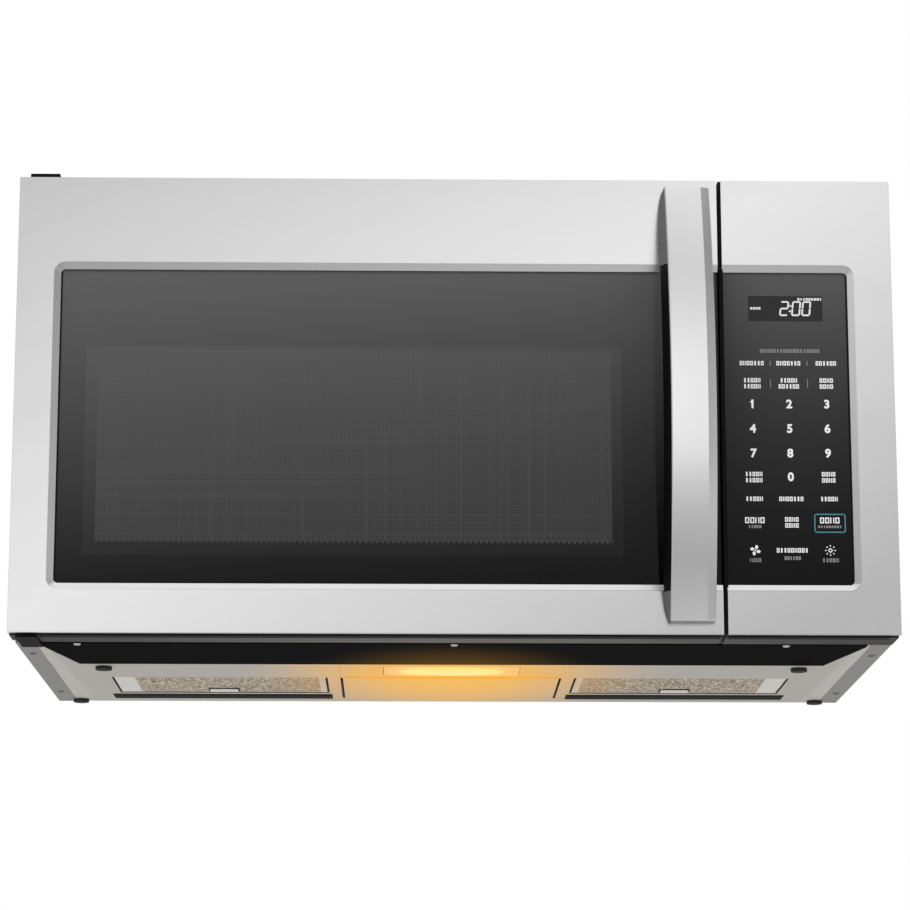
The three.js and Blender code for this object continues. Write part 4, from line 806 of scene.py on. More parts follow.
def piece(name, shape, body, slot, finish, *stands_for):
    """Turns a bmesh into an object of the oven."""
    mesh = bpy.data.meshes.new(name)
    shape.to_mesh(mesh)
    shape.free()
    mesh.shade_smooth()
    mesh.set_sharp_from_angle(angle=SHARP)
    mesh.materials.append(finish)
    made = bpy.data.objects.new(name, mesh)
    bpy.context.scene.collection.objects.link(made)
    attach(made, body)
    if stands_for:
        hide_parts(*stands_for)
    print(f"{name}: {len(mesh.polygons)} faces on {body}")
    return made


def solidify(made, thickness):
    """Gives a sheet its thickness, inwards from the face that shows."""
    wall = made.modifiers.new("sheet", "SOLIDIFY")
    wall.thickness = thickness
    wall.offset = -1.0
    return made


def even_shading(made):
    """Lets the broad faces keep their own direction, so that rounded edges don't shade them."""
    shading = made.modifiers.new("even shading", "WEIGHTED_NORMAL")
    shading.keep_sharp = True
    shading.weight = 100
    return made


print("new pieces take their place in", len(frame["nodes"]), "nodes")

# %% [markdown]
# The same few moves come back in every piece: a flat face at a place, drawn out to its thickness, cut off
# along a plane, its edges rounded. They are short functions here, so that a piece's own cell tells only its
# shape. Bevels are made in the mesh, because the outlines that they follow are made there too.

# %% Shape helpers
def all_of(shape):
    """Everything in a shape, for the operators that cut or turn all of it."""
    return shape.verts[:] + shape.edges[:] + shape.faces[:]


def corners_of(geometry):
    """The corners among what an operator hands back."""
    return [part for part in geometry if isinstance(part, bmesh.types.BMVert)]


def flat_face(shape, middle, width, length, turn=Matrix(), steps=(1, 1)):
    """A face about a point, level unless it is turned. Hands back its corners."""
    place = Matrix.Translation(middle) @ turn @ Matrix.Diagonal((width, length, 1, 1))
    return bmesh.ops.create_grid(shape, x_segments=steps[0], y_segments=steps[1], size=0.5, matrix=place)["verts"]


def draw_out(shape, by):
    """Gives a flat shape its thickness."""
    drawn = bmesh.ops.extrude_face_region(shape, geom=shape.faces[:])
    bmesh.ops.translate(shape, verts=corners_of(drawn["geom"]), vec=by)
    bmesh.ops.recalc_face_normals(shape, faces=shape.faces)


def cut_off(shape, point, outwards):
    """Removes what lies past a plane, and hands back what the cut made."""
    return bmesh.ops.bisect_plane(shape, geom=all_of(shape), plane_co=point, plane_no=outwards,
                                  clear_outer=True)["geom_cut"]


def merge_into(shape, fresh):
    """Adds a finished shape to another one."""
    mesh = bpy.data.meshes.new("fresh")
    fresh.to_mesh(mesh)
    fresh.free()
    shape.from_mesh(mesh)
    bpy.data.meshes.remove(mesh)


def look_forward(shape):
    """Turns flat marks so that all of them face the cook."""
    shape.normal_update()
    bmesh.ops.reverse_faces(shape, faces=[face for face in shape.faces if face.normal.y > 0])


def face_outwards(shape, towards):
    """Turns the faces of an open sheet so that its front looks in a given direction."""
    bmesh.ops.recalc_face_normals(shape, faces=shape.faces)
    widest = max(shape.faces, key=lambda face: face.calc_area())
    if widest.normal.dot(Vector(towards)) < 0:
        bmesh.ops.reverse_faces(shape, faces=shape.faces)


def round_edges(shape, width, segments=2, sharper=20):
    """Bevels the edges where two faces meet at more than an angle."""
    chosen = [edge for edge in shape.edges if edge.is_manifold and math.degrees(edge.calc_face_angle(0)) > sharper]
    bmesh.ops.bevel(shape, geom=chosen, offset=width, offset_type="OFFSET", segments=segments, profile=0.5,
                    affect="EDGES", clamp_overlap=True, material=-1)


def round_corners(shape, corners, radius, segments):
    """Rounds the corners of a flat face."""
    bmesh.ops.bevel(shape, geom=corners, offset=radius, offset_type="OFFSET", segments=segments, profile=0.5,
                    affect="VERTICES", clamp_overlap=False, material=-1)


print("pieces turn sharp past", round(math.degrees(SHARP)), "degrees")

# %% [markdown]
# ## The stainless front
# On the real oven, door and panel are pressed from steel sheet with one opening across both, a sloping
# edge around it and a turned rim. Pushing and pulling a box would give soft, uneven slopes. Outlines one
# behind the other are exact, so the front, the panes and the print are all built from standing outlines.

# %% Outlines of the front
UPRIGHT = Matrix.Rotation(math.radians(90), 4, "X")  # stands a flat grid up so that it faces -Y
CORNER_STEPS = 8


def upright_face(shape, sides, depth, radius=0.0, grow=0.0):
    """A standing face, with round corners if it has a radius."""
    width = sides["right"] - sides["left"] + 2 * grow
    height = sides["high"] - sides["low"] + 2 * grow
    middle = Vector(((sides["left"] + sides["right"]) / 2, depth, (sides["low"] + sides["high"]) / 2))
    known = set(shape.faces)
    square = flat_face(shape, middle, width, height, UPRIGHT)
    if radius:
        round_corners(shape, square, radius, CORNER_STEPS)
    return [face for face in shape.faces if face not in known]


def outline(shape, *face_values, **face_settings):
    """The edges of a standing face, without the face."""
    known = set(shape.edges)
    bmesh.ops.delete(shape, geom=upright_face(shape, *face_values, **face_settings), context="FACES_ONLY")
    return [edge for edge in shape.edges if edge not in known]


print("corner steps", CORNER_STEPS)

# %% [markdown]
# The flat face fills the space between the first two outlines, and bridges join the rest down to the glass.
# A cut at the slot then leaves the door's or the panel's part of it, whose free edges are drawn back as the
# rim. The sheet gets its thickness behind the face, so the face itself stays where the CAD has it.

# %% Door sheet and panel sheet
STEEL_EDGE = 0.8 * MM
SLOPE_RADIUS = RECESS_CORNER - SLOPE_WIDTH  # of the corners at the foot of the slope


def front_sheet(cut_at, side):
    """The part of the stainless front on one side of the slot."""
    shape = bmesh.new()
    edge_of_front = outline(shape, FRONT, FACE)
    top_of_slope = outline(shape, RECESS, FACE, radius=RECESS_CORNER)
    foot_of_slope = outline(shape, RECESS, FACE + SLOPE_DEPTH, radius=SLOPE_RADIUS, grow=-SLOPE_WIDTH)
    foot_of_step = outline(shape, RECESS, FACE + RECESS_DEPTH, radius=SLOPE_RADIUS - STEP_WIDTH,
                           grow=-SLOPE_WIDTH - STEP_WIDTH)
    bmesh.ops.triangle_fill(shape, use_beauty=True, edges=edge_of_front + top_of_slope)
    bmesh.ops.bridge_loops(shape, edges=top_of_slope + foot_of_slope)
    bmesh.ops.bridge_loops(shape, edges=foot_of_slope + foot_of_step)
    cut_off(shape, (cut_at, 0, 0), (side, 0, 0))
    free = [edge for edge in shape.edges
            if edge.is_boundary and max(corner.co.y for corner in edge.verts) < FACE + RIM_DEPTH]
    for corner in corners_of(bmesh.ops.extrude_edge_only(shape, edges=free)["geom"]):
        corner.co.y = FACE + RIM_DEPTH
    face_outwards(shape, (0, -1, 0))
    round_edges(shape, STEEL_EDGE, segments=3)
    return shape


for name, cut_at, side, body, node in (("door_sheet", door_high.x, 1, "door", "door_skin"),
                                       ("panel_sheet", panel_low.x, -1, "cabinet", "control_skin")):
    sheet = piece(name, front_sheet(cut_at, side), body, "stainless", front_steel, node)
    even_shading(solidify(sheet, SHEET))

# %% [markdown]
# The steel turns back only a few millimetres. Behind it a black band is painted shade, which draws the dark
# line under the front. The band is the same outline, a little smaller, drawn from the rim to the plastic
# behind.

# %% Band behind the steel
BAND_INSET = 0.7 * MM
BAND_START, BAND_END = FACE + RIM_DEPTH - 0.6 * MM, at_depth(14.2)


def shade_band(left, right):
    """A black band of painted shade round the part of the front between two sides."""
    sides = {**FRONT, "left": left, "right": right}
    shape = bmesh.new()
    near = outline(shape, sides, BAND_START, grow=-BAND_INSET)
    far = outline(shape, sides, BAND_END, grow=-BAND_INSET)
    bmesh.ops.bridge_loops(shape, edges=near + far)
    bmesh.ops.recalc_face_normals(shape, faces=shape.faces)
    round_edges(shape, 0.5 * MM, sharper=60)
    return shape


# Painted shade: the black bands draw the dark line under the front.
piece("door_shade_band", shade_band(FRONT["left"], door_high.x), "door", "black_plastic", finishes["black_paint"])
piece("panel_shade_band", shade_band(panel_low.x, FRONT["right"]), "cabinet", "black_plastic", finishes["black_paint"])

# %% [markdown]
# ## The two panes
# One pane of dark glass fills the recess, split like the steel. Its edge is ground, which shows as a thin
# line at the slot, so the pane is an outline with thickness and a small bevel, not a flat card.

# %% Panes
PANE_EDGE = 3 * MM  # glass hidden behind the slope


def pane(node, cut_at, side):
    """The part of the glass on one side of the slot, as thick as the CAD node."""
    low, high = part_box(node)
    shape = bmesh.new()
    upright_face(shape, RECESS, low.y, radius=SLOPE_RADIUS + PANE_EDGE, grow=PANE_EDGE - SLOPE_WIDTH)
    cut_off(shape, (cut_at, 0, 0), (side, 0, 0))
    draw_out(shape, (0, high.y - low.y, 0))
    round_edges(shape, 0.5 * MM, sharper=60)
    return shape


door_pane = pane("door_glass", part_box("door_glass")[1].x, 1)
panel_pane = pane("control_glass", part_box("control_glass")[0].x, -1)
even_shading(piece("door_pane", door_pane, "door", "dark_glass", door_glass_finish, "door_glass"))
even_shading(piece("panel_pane", panel_pane, "cabinet", "dark_glass", panel_glass_finish, "control_glass"))

# %% [markdown]
# ## The handle
# A flat bar that bows forward in one arc, with a broad chamfer on its right and a narrow one on its left.
# A sweep of one cross-section round the arc's centre keeps the chamfers even, which bending a long box with
# a modifier would not. The ends are then cut level.

# %% Handle
HANDLE_BOW, HANDLE_THICK = 37 * MM, 9.2 * MM
HANDLE_STEPS = 64
RIGHT_CHAMFER = (7.5 * MM, 2.6 * MM)  # along the bar's face, and back from it
LEFT_CHAMFER = (-1.2 * MM, 1.2 * MM)
handle_low, handle_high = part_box("door_handle")
bar_front = handle_low.y + 0.02 * MM
handle_length = handle_high.z - handle_low.z
handle_middle = (handle_high.z + handle_low.z) / 2
bow_radius = (handle_length**2 / 4 + HANDLE_BOW**2) / (2 * HANDLE_BOW)
bow_centre = Vector((0, bar_front + bow_radius, handle_middle))
bow_half = math.asin(handle_length / 2 / bow_radius) + math.radians(2)  # a little long, for the level cuts


def section_of_bar(left, right, front):
    """A level section of the bar, from its front to its back."""
    shape = bmesh.new()
    back = bar_front + HANDLE_THICK
    flat_face(shape, ((left + right) / 2, (front + back) / 2, handle_middle), right - left, back - front)
    return shape


def chamfer(shape, corner, inwards, back):
    """Cuts a corner off the bar's section, from a distance along its face to a distance behind it."""
    away = Vector((back * math.copysign(1, inwards), -abs(inwards), 0)).normalized()
    cut_off(shape, (corner - inwards, bar_front, 0), away)


def swept(section):
    """Sweeps a section round the centre of the bow, and cuts the ends level."""
    bmesh.ops.rotate(section, verts=section.verts, cent=bow_centre, matrix=Matrix.Rotation(-bow_half, 3, "X"))
    bmesh.ops.spin(section, geom=all_of(section), cent=bow_centre, axis=(1, 0, 0), angle=2 * bow_half,
                   steps=HANDLE_STEPS, use_duplicate=False)
    for end, side in ((handle_low.z, -1), (handle_high.z, 1)):
        cut = cut_off(section, (0, 0, end), (0, 0, side))
        bmesh.ops.edgeloop_fill(section, edges=[part for part in cut if isinstance(part, bmesh.types.BMEdge)])
    bmesh.ops.recalc_face_normals(section, faces=section.faces)


bar = section_of_bar(handle_low.x, handle_high.x, bar_front)
chamfer(bar, handle_high.x, *RIGHT_CHAMFER)
chamfer(bar, handle_low.x, *LEFT_CHAMFER)
swept(bar)
round_edges(bar, 0.5 * MM, sharper=15)
even_shading(piece("handle_bar", bar, "door", "stainless", handle_steel, "door_handle"))

# %% [markdown]
# The bar's left side isn't square to its face. It slopes back and outwards, so it shows beside the face as a
# narrow band. Its colour is painted reflection: black where it passes the glass, grey along the steel. A
# second section on the same sweep makes it, and its finish holds those two tones.

# %% Left flank of the handle
FLANK_WIDE, FLANK_START = 5.8 * MM, 1.2 * MM
FLANK_TAPER = 45 * MM  # the flank narrows to a point over this length at both ends
FLANK_LEAST = 0.03  # share of its width that the point keeps
FLANK_HIDDEN = 1 * MM  # how far it reaches into the bar
BESIDE_GLASS = {"Left": -1.0, "Right": 1.0, "Low": RECESS["low"] - 3 * MM, "High": RECESS["high"] - 9 * MM}

flank_reflection_paint = Finish("flank_reflection_paint", Roughness=0.5, Specular_IOR_Level=0.1)
beside_glass = flank_reflection_paint.effect(rectangle, **BESIDE_GLASS)["Inside"]
# Painted reflection: black beside the glass, grey beside the steel.
flank_reflection_paint.join(flank_reflection_paint.blend(beside_glass, tone(112), tone(7)), "Base Color")

flank = section_of_bar(handle_low.x - FLANK_WIDE, handle_low.x + FLANK_HIDDEN, bar_front + FLANK_START)
cut_off(flank, (handle_low.x, bar_front + FLANK_START, 0), (FLANK_START - HANDLE_THICK, -FLANK_WIDE, 0))
swept(flank)
for corner in flank.verts:
    from_end = min(corner.co.z - handle_low.z, handle_high.z - corner.co.z)
    if corner.co.x < handle_low.x and from_end < FLANK_TAPER:
        share = math.sqrt(max(0.0, 1 - (1 - from_end / FLANK_TAPER) ** 2))
        corner.co.x = handle_low.x - max(FLANK_LEAST, share) * (handle_low.x - corner.co.x)
round_edges(flank, 0.2 * MM, sharper=30)
piece("handle_flank", flank, "door", "stainless", flank_reflection_paint.material)

# %% [markdown]
# ## Marks on the control panel
# The keys are printed on flat glass: nothing moves when they are pressed. The print is matt ink in three
# colours, and the display has its dark window and its pale digits. White print and digits glow a little.

# %% Print finishes
def print_finish(name, colour, glow=0.0):
    """Matt ink with a little grain, which may glow in its own colour."""
    ink = Finish(name, Roughness=0.5, Emission_Strength=glow)
    speck = ink.effect(fine_grain, Grain_Scale=2000.0)["Grain"]
    shade = ink.blend(speck, shifted(colour, -10), tone(*colour))
    ink.join(shade, "Base Color")
    if glow:
        ink.join(shade, "Emission Color")
    return ink.material


white_print = print_finish("white_print", (240, 240, 240), glow=0.32)
grey_print = print_finish("grey_print", (158, 158, 158))
key_outline = print_finish("key_outline", (98, 168, 190))
display_dark = print_finish("display_dark", (30, 30, 31))
digit_light = print_finish("digit_light", (226, 228, 226), glow=0.35)
print("print finishes ready")

# %% [markdown]
# Numbers are text turned into mesh. Every other legend is a neutral row of frames, bars and blocks, about as
# long as the word on the real panel, so that the panel reads as a panel and names nothing. All of it lies a
# hair in front of the glass.

# %% Print helpers
PRINT_LIFT = 0.06 * MM
GLYPH_LINE = 0.86
GLYPH_KINDS = ("frame", "block", "frame", "bars", "frame", "block", "frame")
DIGIT_BOLD = 0.038  # how much a digit's lines are thickened, as a share of its height
print_plane = glass_front - PRINT_LIFT


def sides_about(x, z, width, height):
    """The sides of a rectangle about a point on the glass. Sizes in millimetres."""
    return {"left": (x - width / 2) * MM, "right": (x + width / 2) * MM,
            "low": (z - height / 2) * MM, "high": (z + height / 2) * MM}


def stamp(shape, x, z, width, height):
    """One printed block on the glass. Sizes in millimetres."""
    return upright_face(shape, sides_about(x, z, width, height), print_plane)


def line_frame(shape, sides, line, radius=0.0):
    """A rectangle drawn with a line, inwards from its sides. Hands back its corners."""
    edges = outline(shape, sides, print_plane, radius=radius)
    edges += outline(shape, sides, print_plane, radius=max(0.0, radius - line), grow=-line)
    corners = list({corner for edge in edges for corner in edge.verts})
    bmesh.ops.bridge_loops(shape, edges=edges)
    return corners


def glyph(shape, kind, x, z, width, height, line):
    """One neutral mark of a legend: a small frame, two bars or a block."""
    if kind == "bars":
        for side in (-1, 1):
            stamp(shape, x + side * (width - line) / 2, z, line, height)
    elif kind == "block":
        stamp(shape, x, z, width * 0.6, height)
    else:
        line_frame(shape, sides_about(x, z, width, height), line * MM)


def legend(shape, count, x, z, height=3.9, pitch=3.05, line=GLYPH_LINE):
    """A row of neutral marks as long as a word."""
    for place in range(count):
        kind = GLYPH_KINDS[(place * 3 + count) % len(GLYPH_KINDS)]
        glyph(shape, kind, x + (place - (count - 1) / 2) * pitch, z, pitch * 0.8, height, line)


def digit(shape, mark, x, z, size):
    """A number in mesh, upright on the glass."""
    text = bpy.data.curves.new("number", "FONT")
    text.body = mark
    text.size = size * MM
    text.offset = DIGIT_BOLD * size * MM
    text.align_x = "CENTER"
    text.align_y = "CENTER"
    text.resolution_u = 4
    letter = bpy.data.objects.new("number", text)
    bpy.context.scene.collection.objects.link(letter)
    bpy.context.view_layer.update()
    outline_mesh = bpy.data.meshes.new_from_object(letter.evaluated_get(bpy.context.evaluated_depsgraph_get()))
    outline_mesh.transform(Matrix.Translation((x * MM, print_plane, z * MM)) @ UPRIGHT)
    shape.from_mesh(outline_mesh)
    bpy.data.objects.remove(letter)
    bpy.data.curves.remove(text)
    bpy.data.meshes.remove(outline_mesh)


print("print plane", round(print_plane, 5))

# %% [markdown]
# The keys stand in three columns. From the top they are a row of words, a row of two-line menus, the ten
# digits, a row of times and the start row, and the icons come last. The places were read off the photograph
# in millimetres, from the oven's middle and from its underside, and one table row is one row of keys.

# %% Keypad
KEY_COLUMNS = (256.9, 288.7, 321.3)
LEFT_KEY, MIDDLE_KEY, RIGHT_KEY = KEY_COLUMNS
ROW_WORDS, ROW_MENUS = 243.0, 225.0
ROW_DIGITS = (206.2, 184.4, 162.6)
ROW_ZERO, ROW_TIMES, ROW_START, ROW_ICONS = 141.7, 122.6, 102.0, 77.5
LINE_RISE = 2.7  # from the middle of a two-line legend to each of its lines
DIGIT_SIZE = 10.2
SERIF = {"x": LEFT_KEY - 0.9, "z": ROW_DIGITS[0] + 2.5, "width": 2.2, "height": 1.1}  # the stroke that makes a 1
SERIF_TURN = math.radians(-32)

ONE_LINE = ((ROW_WORDS, (7, 7, 6)), (ROW_TIMES, (5, 7, 5)))  # a row, and how many marks each column has
TWO_LINES = ((ROW_MENUS, ((5, 5), (5, 6), (4, 4))), (ROW_ZERO, ((5, 5), (0, 0), (4, 4))))  # above and below

white_marks = bmesh.new()
for row, counts in ONE_LINE:
    for count, column in zip(counts, KEY_COLUMNS):
        legend(white_marks, count, column, row)
for row, pairs in TWO_LINES:
    for (upper, lower), column in zip(pairs, KEY_COLUMNS):
        legend(white_marks, upper, column, row + LINE_RISE)
        legend(white_marks, lower, column, row - LINE_RISE)
for row, numbers in zip(ROW_DIGITS, ("123", "456", "789")):
    for number, column in zip(numbers, KEY_COLUMNS):
        digit(white_marks, number, column, row, DIGIT_SIZE)
digit(white_marks, "0", MIDDLE_KEY, ROW_ZERO, DIGIT_SIZE)
for column in (LEFT_KEY, RIGHT_KEY):
    legend(white_marks, 4, column, ROW_START + 1.8, height=5.2, pitch=4.4, line=1.0)
legend(white_marks, 4, MIDDLE_KEY, ROW_START + 2.6)
legend(white_marks, 4, MIDDLE_KEY, ROW_START - LINE_RISE)
legend(white_marks, 9, MIDDLE_KEY, ROW_ICONS)
serif = stamp(white_marks, **SERIF)
bmesh.ops.rotate(white_marks, verts=list({corner for face in serif for corner in face.verts}),
                 cent=serif[0].calc_center_median(), matrix=Matrix.Rotation(SERIF_TURN, 3, "Y"))
look_forward(white_marks)
piece("keypad_white", white_marks, "cabinet", "dark_glass", white_print)

# %% [markdown]
# Smaller notes under and over the keys are grey, and so are the upright strokes between the keys of the two
# upper rows. They are a piece of their own because they take another ink.

# %% Grey legends and separators
SEPARATORS, SEPARATOR_WIDTH = (272.9, 305.0), 0.7
GREY_LEGENDS = (  # marks, middle, height above the underside, then the height and pitch of the marks
    (18, 290.0, 254.0, 3.2, 2.9),
    (5, LEFT_KEY, ROW_START - 3.8, 2.8, 2.3),
    (9, RIGHT_KEY, ROW_START - 3.8, 2.2, 2.3),
    (3, LEFT_KEY, ROW_ICONS - 8.6, 3.4, 3.4),
    (6, MIDDLE_KEY, ROW_ICONS - 6.8, 3.2, 2.4),
    (5, RIGHT_KEY, ROW_ICONS - 8.6, 3.4, 2.9),
)
grey_marks = bmesh.new()
for count, column, row, height, pitch in GREY_LEGENDS:
    legend(grey_marks, count, column, row, height=height, pitch=pitch)
for at in SEPARATORS:
    for row, height in ((ROW_WORDS, 4.2), (ROW_MENUS, 7.6)):
        stamp(grey_marks, at, row, SEPARATOR_WIDTH, height)
look_forward(grey_marks)
piece("keypad_grey", grey_marks, "cabinet", "dark_glass", grey_print)

# %% [markdown]
# The start key has a pale blue outline with round corners. Two outlines, one inside the other, are bridged
# into a line of even width.

# %% Start key's outline
START_SIDES = {"left": 308.0 * MM, "right": 335.0 * MM, "low": 93.0 * MM, "high": 109.6 * MM}
START_LINE, START_RADIUS = 0.9 * MM, 2.2 * MM
key_frame = bmesh.new()
line_frame(key_frame, START_SIDES, START_LINE, START_RADIUS)
face_outwards(key_frame, (0, -1, 0))
piece("start_outline", key_frame, "cabinet", "dark_glass", key_outline)

# %% [markdown]
# The fan key and the lamp key carry icons. A fan is four round blades about a hub, each a circle pulled out
# and copied round; a lamp is a square on its corner with short rays.

# %% Icons
BLADES, RAYS = 4, 8
BULB_SIZE, BULB_LINE = 3.2, 0.8 * MM


def turned_copies(shape, made, centre, count):
    """Copies geometry round a point on the glass."""
    for turn in range(1, count):
        copied = bmesh.ops.duplicate(shape, geom=made)
        bmesh.ops.rotate(shape, verts=corners_of(copied["geom"]), cent=centre,
                         matrix=Matrix.Rotation(turn * math.tau / count, 3, "Y"))


def round_spot(shape, x, z, radius, stretch=1.0):
    """A filled round on the glass."""
    place = Matrix.Translation((x * MM, print_plane, z * MM)) @ UPRIGHT @ Matrix.Diagonal((1, stretch, 1, 1))
    made = bmesh.ops.create_circle(shape, cap_ends=True, segments=20, radius=radius * MM, matrix=place)
    faces = {face for corner in made["verts"] for face in corner.link_faces}
    return made["verts"] + list(faces)


icons = bmesh.new()
fan_centre, lamp_centre = (Vector((column * MM, print_plane, ROW_ICONS * MM)) for column in (LEFT_KEY, RIGHT_KEY))
blade = round_spot(icons, LEFT_KEY + 1.1, ROW_ICONS + 2.7, 1.35, stretch=1.3)
turned_copies(icons, blade, fan_centre, BLADES)
round_spot(icons, LEFT_KEY, ROW_ICONS, 0.8)
ray = stamp(icons, RIGHT_KEY, ROW_ICONS + 4.0, 0.8, 1.4)
turned_copies(icons, [corner for face in ray for corner in face.verts] + ray, lamp_centre, RAYS)
bulb = line_frame(icons, sides_about(RIGHT_KEY, ROW_ICONS, BULB_SIZE, BULB_SIZE), BULB_LINE)
bmesh.ops.rotate(icons, verts=bulb, cent=lamp_centre, matrix=Matrix.Rotation(math.radians(45), 3, "Y"))
look_forward(icons)
piece("key_icons", icons, "cabinet", "dark_glass", white_print)

# %% [markdown]
# ## The display
# A seven-segment display behind the glass. Each bar is a block with pointed ends, and a digit is the bars
# that are lit, leaning a little as such digits do.

# %% Display
DISPLAY_LIFT = 0.03 * MM  # behind the print, so that the digits lie in front of it
DIGIT_TALL, DIGIT_WIDE, BAR = 12.0, 6.4, 1.5
BAR_POINT = 0.45  # how much of a bar's width its pointed ends take from each corner
SEGMENTS = {"0": "abcdef", "2": "abged"}
LEAN = math.radians(6)
DISPLAY_ROW = 292.2
SHOWN_TIME = (("2", 286.2), ("0", 296.6), ("0", 305.4))

display_low, display_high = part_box("display_module")
display_sides = {"left": display_low.x, "right": display_high.x, "low": display_low.z, "high": display_high.z}
window = bmesh.new()
upright_face(window, display_sides, glass_front - DISPLAY_LIFT, radius=0.6 * MM)
piece("display_window", window, "cabinet", "dark_glass", display_dark)


def lit_digit(shape, number, x, z):
    """The lit bars of one digit, each with pointed ends."""
    side, half = DIGIT_WIDE / 2, DIGIT_TALL / 4
    across, upright = (DIGIT_WIDE, BAR), (BAR, DIGIT_TALL / 2)
    bars = {"a": (x, z + 2 * half, across), "g": (x, z, across), "d": (x, z - 2 * half, across),
            "f": (x - side, z + half, upright), "b": (x + side, z + half, upright),
            "e": (x - side, z - half, upright), "c": (x + side, z - half, upright)}
    for name in SEGMENTS[number]:
        at_x, at_z, size = bars[name]
        corners = [corner for face in stamp(shape, at_x, at_z, *size) for corner in face.verts]
        round_corners(shape, corners, BAR * BAR_POINT * MM, segments=1)


shown = bmesh.new()
for number, at in SHOWN_TIME:
    lit_digit(shown, number, at, DISPLAY_ROW)
for height in (-2.4, 2.4):
    round_spot(shown, 291.3, DISPLAY_ROW + height, 0.9)
for corner in shown.verts:
    corner.co.x += (corner.co.z - DISPLAY_ROW * MM) * math.tan(LEAN)
legend(shown, 4, 261.0, 292.3, height=2.2, pitch=2.4)
legend(shown, 9, 308.4, 300.6, height=2.3, pitch=2.4)
look_forward(shown)
piece("display_digits", shown, "cabinet", "dark_glass", digit_light)

# %% [markdown]
# ## The underside
# It is seen at a flat angle, so thin plates with small bevels do more than deep shapes. Each plate starts
# as one level face with round corners, drawn out to its thickness; its edges are then rounded.

# %% Plate helper
def place_under(x, depth, z):
    """A point from millimetres: across from the middle, behind the door's face, and up."""
    return Vector((x * MM, at_depth(depth), z * MM))


def plate(shape, low, high, radius=0.0, edge=0.1 * MM):
    """A level plate between two corners."""
    middle, size = (low + high) / 2, high - low
    fresh = bmesh.new()
    square = flat_face(fresh, (middle.x, middle.y, high.z), size.x, size.y)
    if radius:
        round_corners(fresh, square, radius, segments=5)
    draw_out(fresh, (0, 0, -size.z))
    round_edges(fresh, edge, sharper=60)
    merge_into(shape, fresh)


print("underside at", round(pan_low.z, 4), "m")

# %% [markdown]
# The middle of the pan is a panel that comes off for service. It stands a little proud of the sheet round
# it, which draws the lines at its sides and its rear.

# %% Service panel
service = bmesh.new()
plate(service, place_under(-100, 232, 1.7), place_under(100, 353, 3.05), radius=3 * MM, edge=0.6 * MM)
even_shading(piece("service_panel", service, "cabinet", "pan_paint", finishes["pan_paint"]))

# %% [markdown]
# The pan's sides are folded down to the cabinet's flanges, and at the front each fold widens into a
# three-cornered gusset that laps over the air panel. A level face that one slanted cut leaves as a triangle,
# drawn out to the sheet's thickness, gives its straight diagonal edge.

# %% Gussets of the pan
GUSSET_WIDE, GUSSET_THIN = 26 * MM, 0.35 * MM
GUSSET_LAP = 1 * MM  # how much longer it is than the air panel
air_low, air_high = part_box("air_panel")
air_deep = air_high.y - air_low.y
gussets = bmesh.new()
for side in (-1, 1):
    outer = side * pan_high.x
    gusset = bmesh.new()
    flat_face(gusset, (outer - side * GUSSET_WIDE / 2, (air_low.y + air_high.y) / 2, air_low.z + 0.05 * MM),
              GUSSET_WIDE, air_deep + GUSSET_LAP)
    cut_off(gusset, (outer, air_low.y, 0), (-side * air_deep, -GUSSET_WIDE, 0))
    draw_out(gusset, (0, 0, -GUSSET_THIN))
    merge_into(gussets, gusset)
piece("pan_gussets", gussets, "cabinet", "pan_paint", finishes["pan_paint"])

# %% [markdown]
# The lamp cover is pressed glass: a flat rim held in the pan and a shallow lens that bulges down from it.
# A flattened ball, cut at the rim, has the right curve all round; a bevelled block would have flat spots.
# The rim glows too, most of all near the bulb.

# %% Lamp cover
LENS_HALF = Vector((47 * MM, 17 * MM, 2.3 * MM))

lamp_amber = Finish("lamp_amber", Roughness=0.3, Emission_Strength=1.0)
amber = lamp_amber.effect(lamp_spill, Reach_Across=0.09, Reach_Back=0.07)["Spill"]
lamp_amber.join(lamp_amber.blend(amber, tone(214, 150, 72), tone(250, 200, 110)), "Base Color")
lamp_amber.join(lamp_amber.blend(amber, (0.38, 0.2, 0.04, 1), (0.7, 0.42, 0.1, 1)), "Emission Color")

rim_glass = bmesh.new()
plate(rim_glass, lamp_low, lamp_high, radius=1.5 * MM, edge=0.5 * MM)
plate(rim_glass, Vector((lamp_high.x - 15 * MM, at_depth(198), 2.1 * MM)),
      Vector((lamp_high.x - 3 * MM, at_depth(204), 3.1 * MM)), radius=1 * MM, edge=0.3 * MM)
even_shading(piece("lamp_rim", rim_glass, "lens", "lamp_glass", lamp_amber.material, "lamp_lens"))

bulge = bmesh.new()
bmesh.ops.create_uvsphere(bulge, u_segments=64, v_segments=24, radius=1,
                          matrix=Matrix.Translation((lamp_middle.x, lamp_middle.y, lamp_low.z + 0.1 * MM))
                          @ Matrix.Diagonal((*LENS_HALF, 1)))
cut_off(bulge, (0, 0, lamp_low.z + 0.05 * MM), (0, 0, 1))
piece("lamp_bulge", bulge, "lens", "lamp_glass", finishes["lamp_glass"])

# %% [markdown]
# The grease filters are pads of crumpled aluminium mesh between folded strips. From this low angle the
# crumpling shows as glitter, so the pad is a fine grid that noise pushes up and down by a few tenths, and its
# finish has painted glints: dark and pale specks in its colour. Black plates, hardly thicker than paper, stand
# for the joints at the ends and round the pull tab.

# %% Filter pads
FILTER_REAR = at_depth(325)
STRIP_OUTER, STRIP_INNER = 21 * MM, 8 * MM
END_GAP = 1.9 * MM
PAD_STEPS = (150, 64)
CRUMPLE = 1.1 * MM
TAB_HALF, TAB_LINE = 13.5 * MM, 1.1 * MM
TAB_FRONT, TAB_REAR = at_depth(305), at_depth(321)


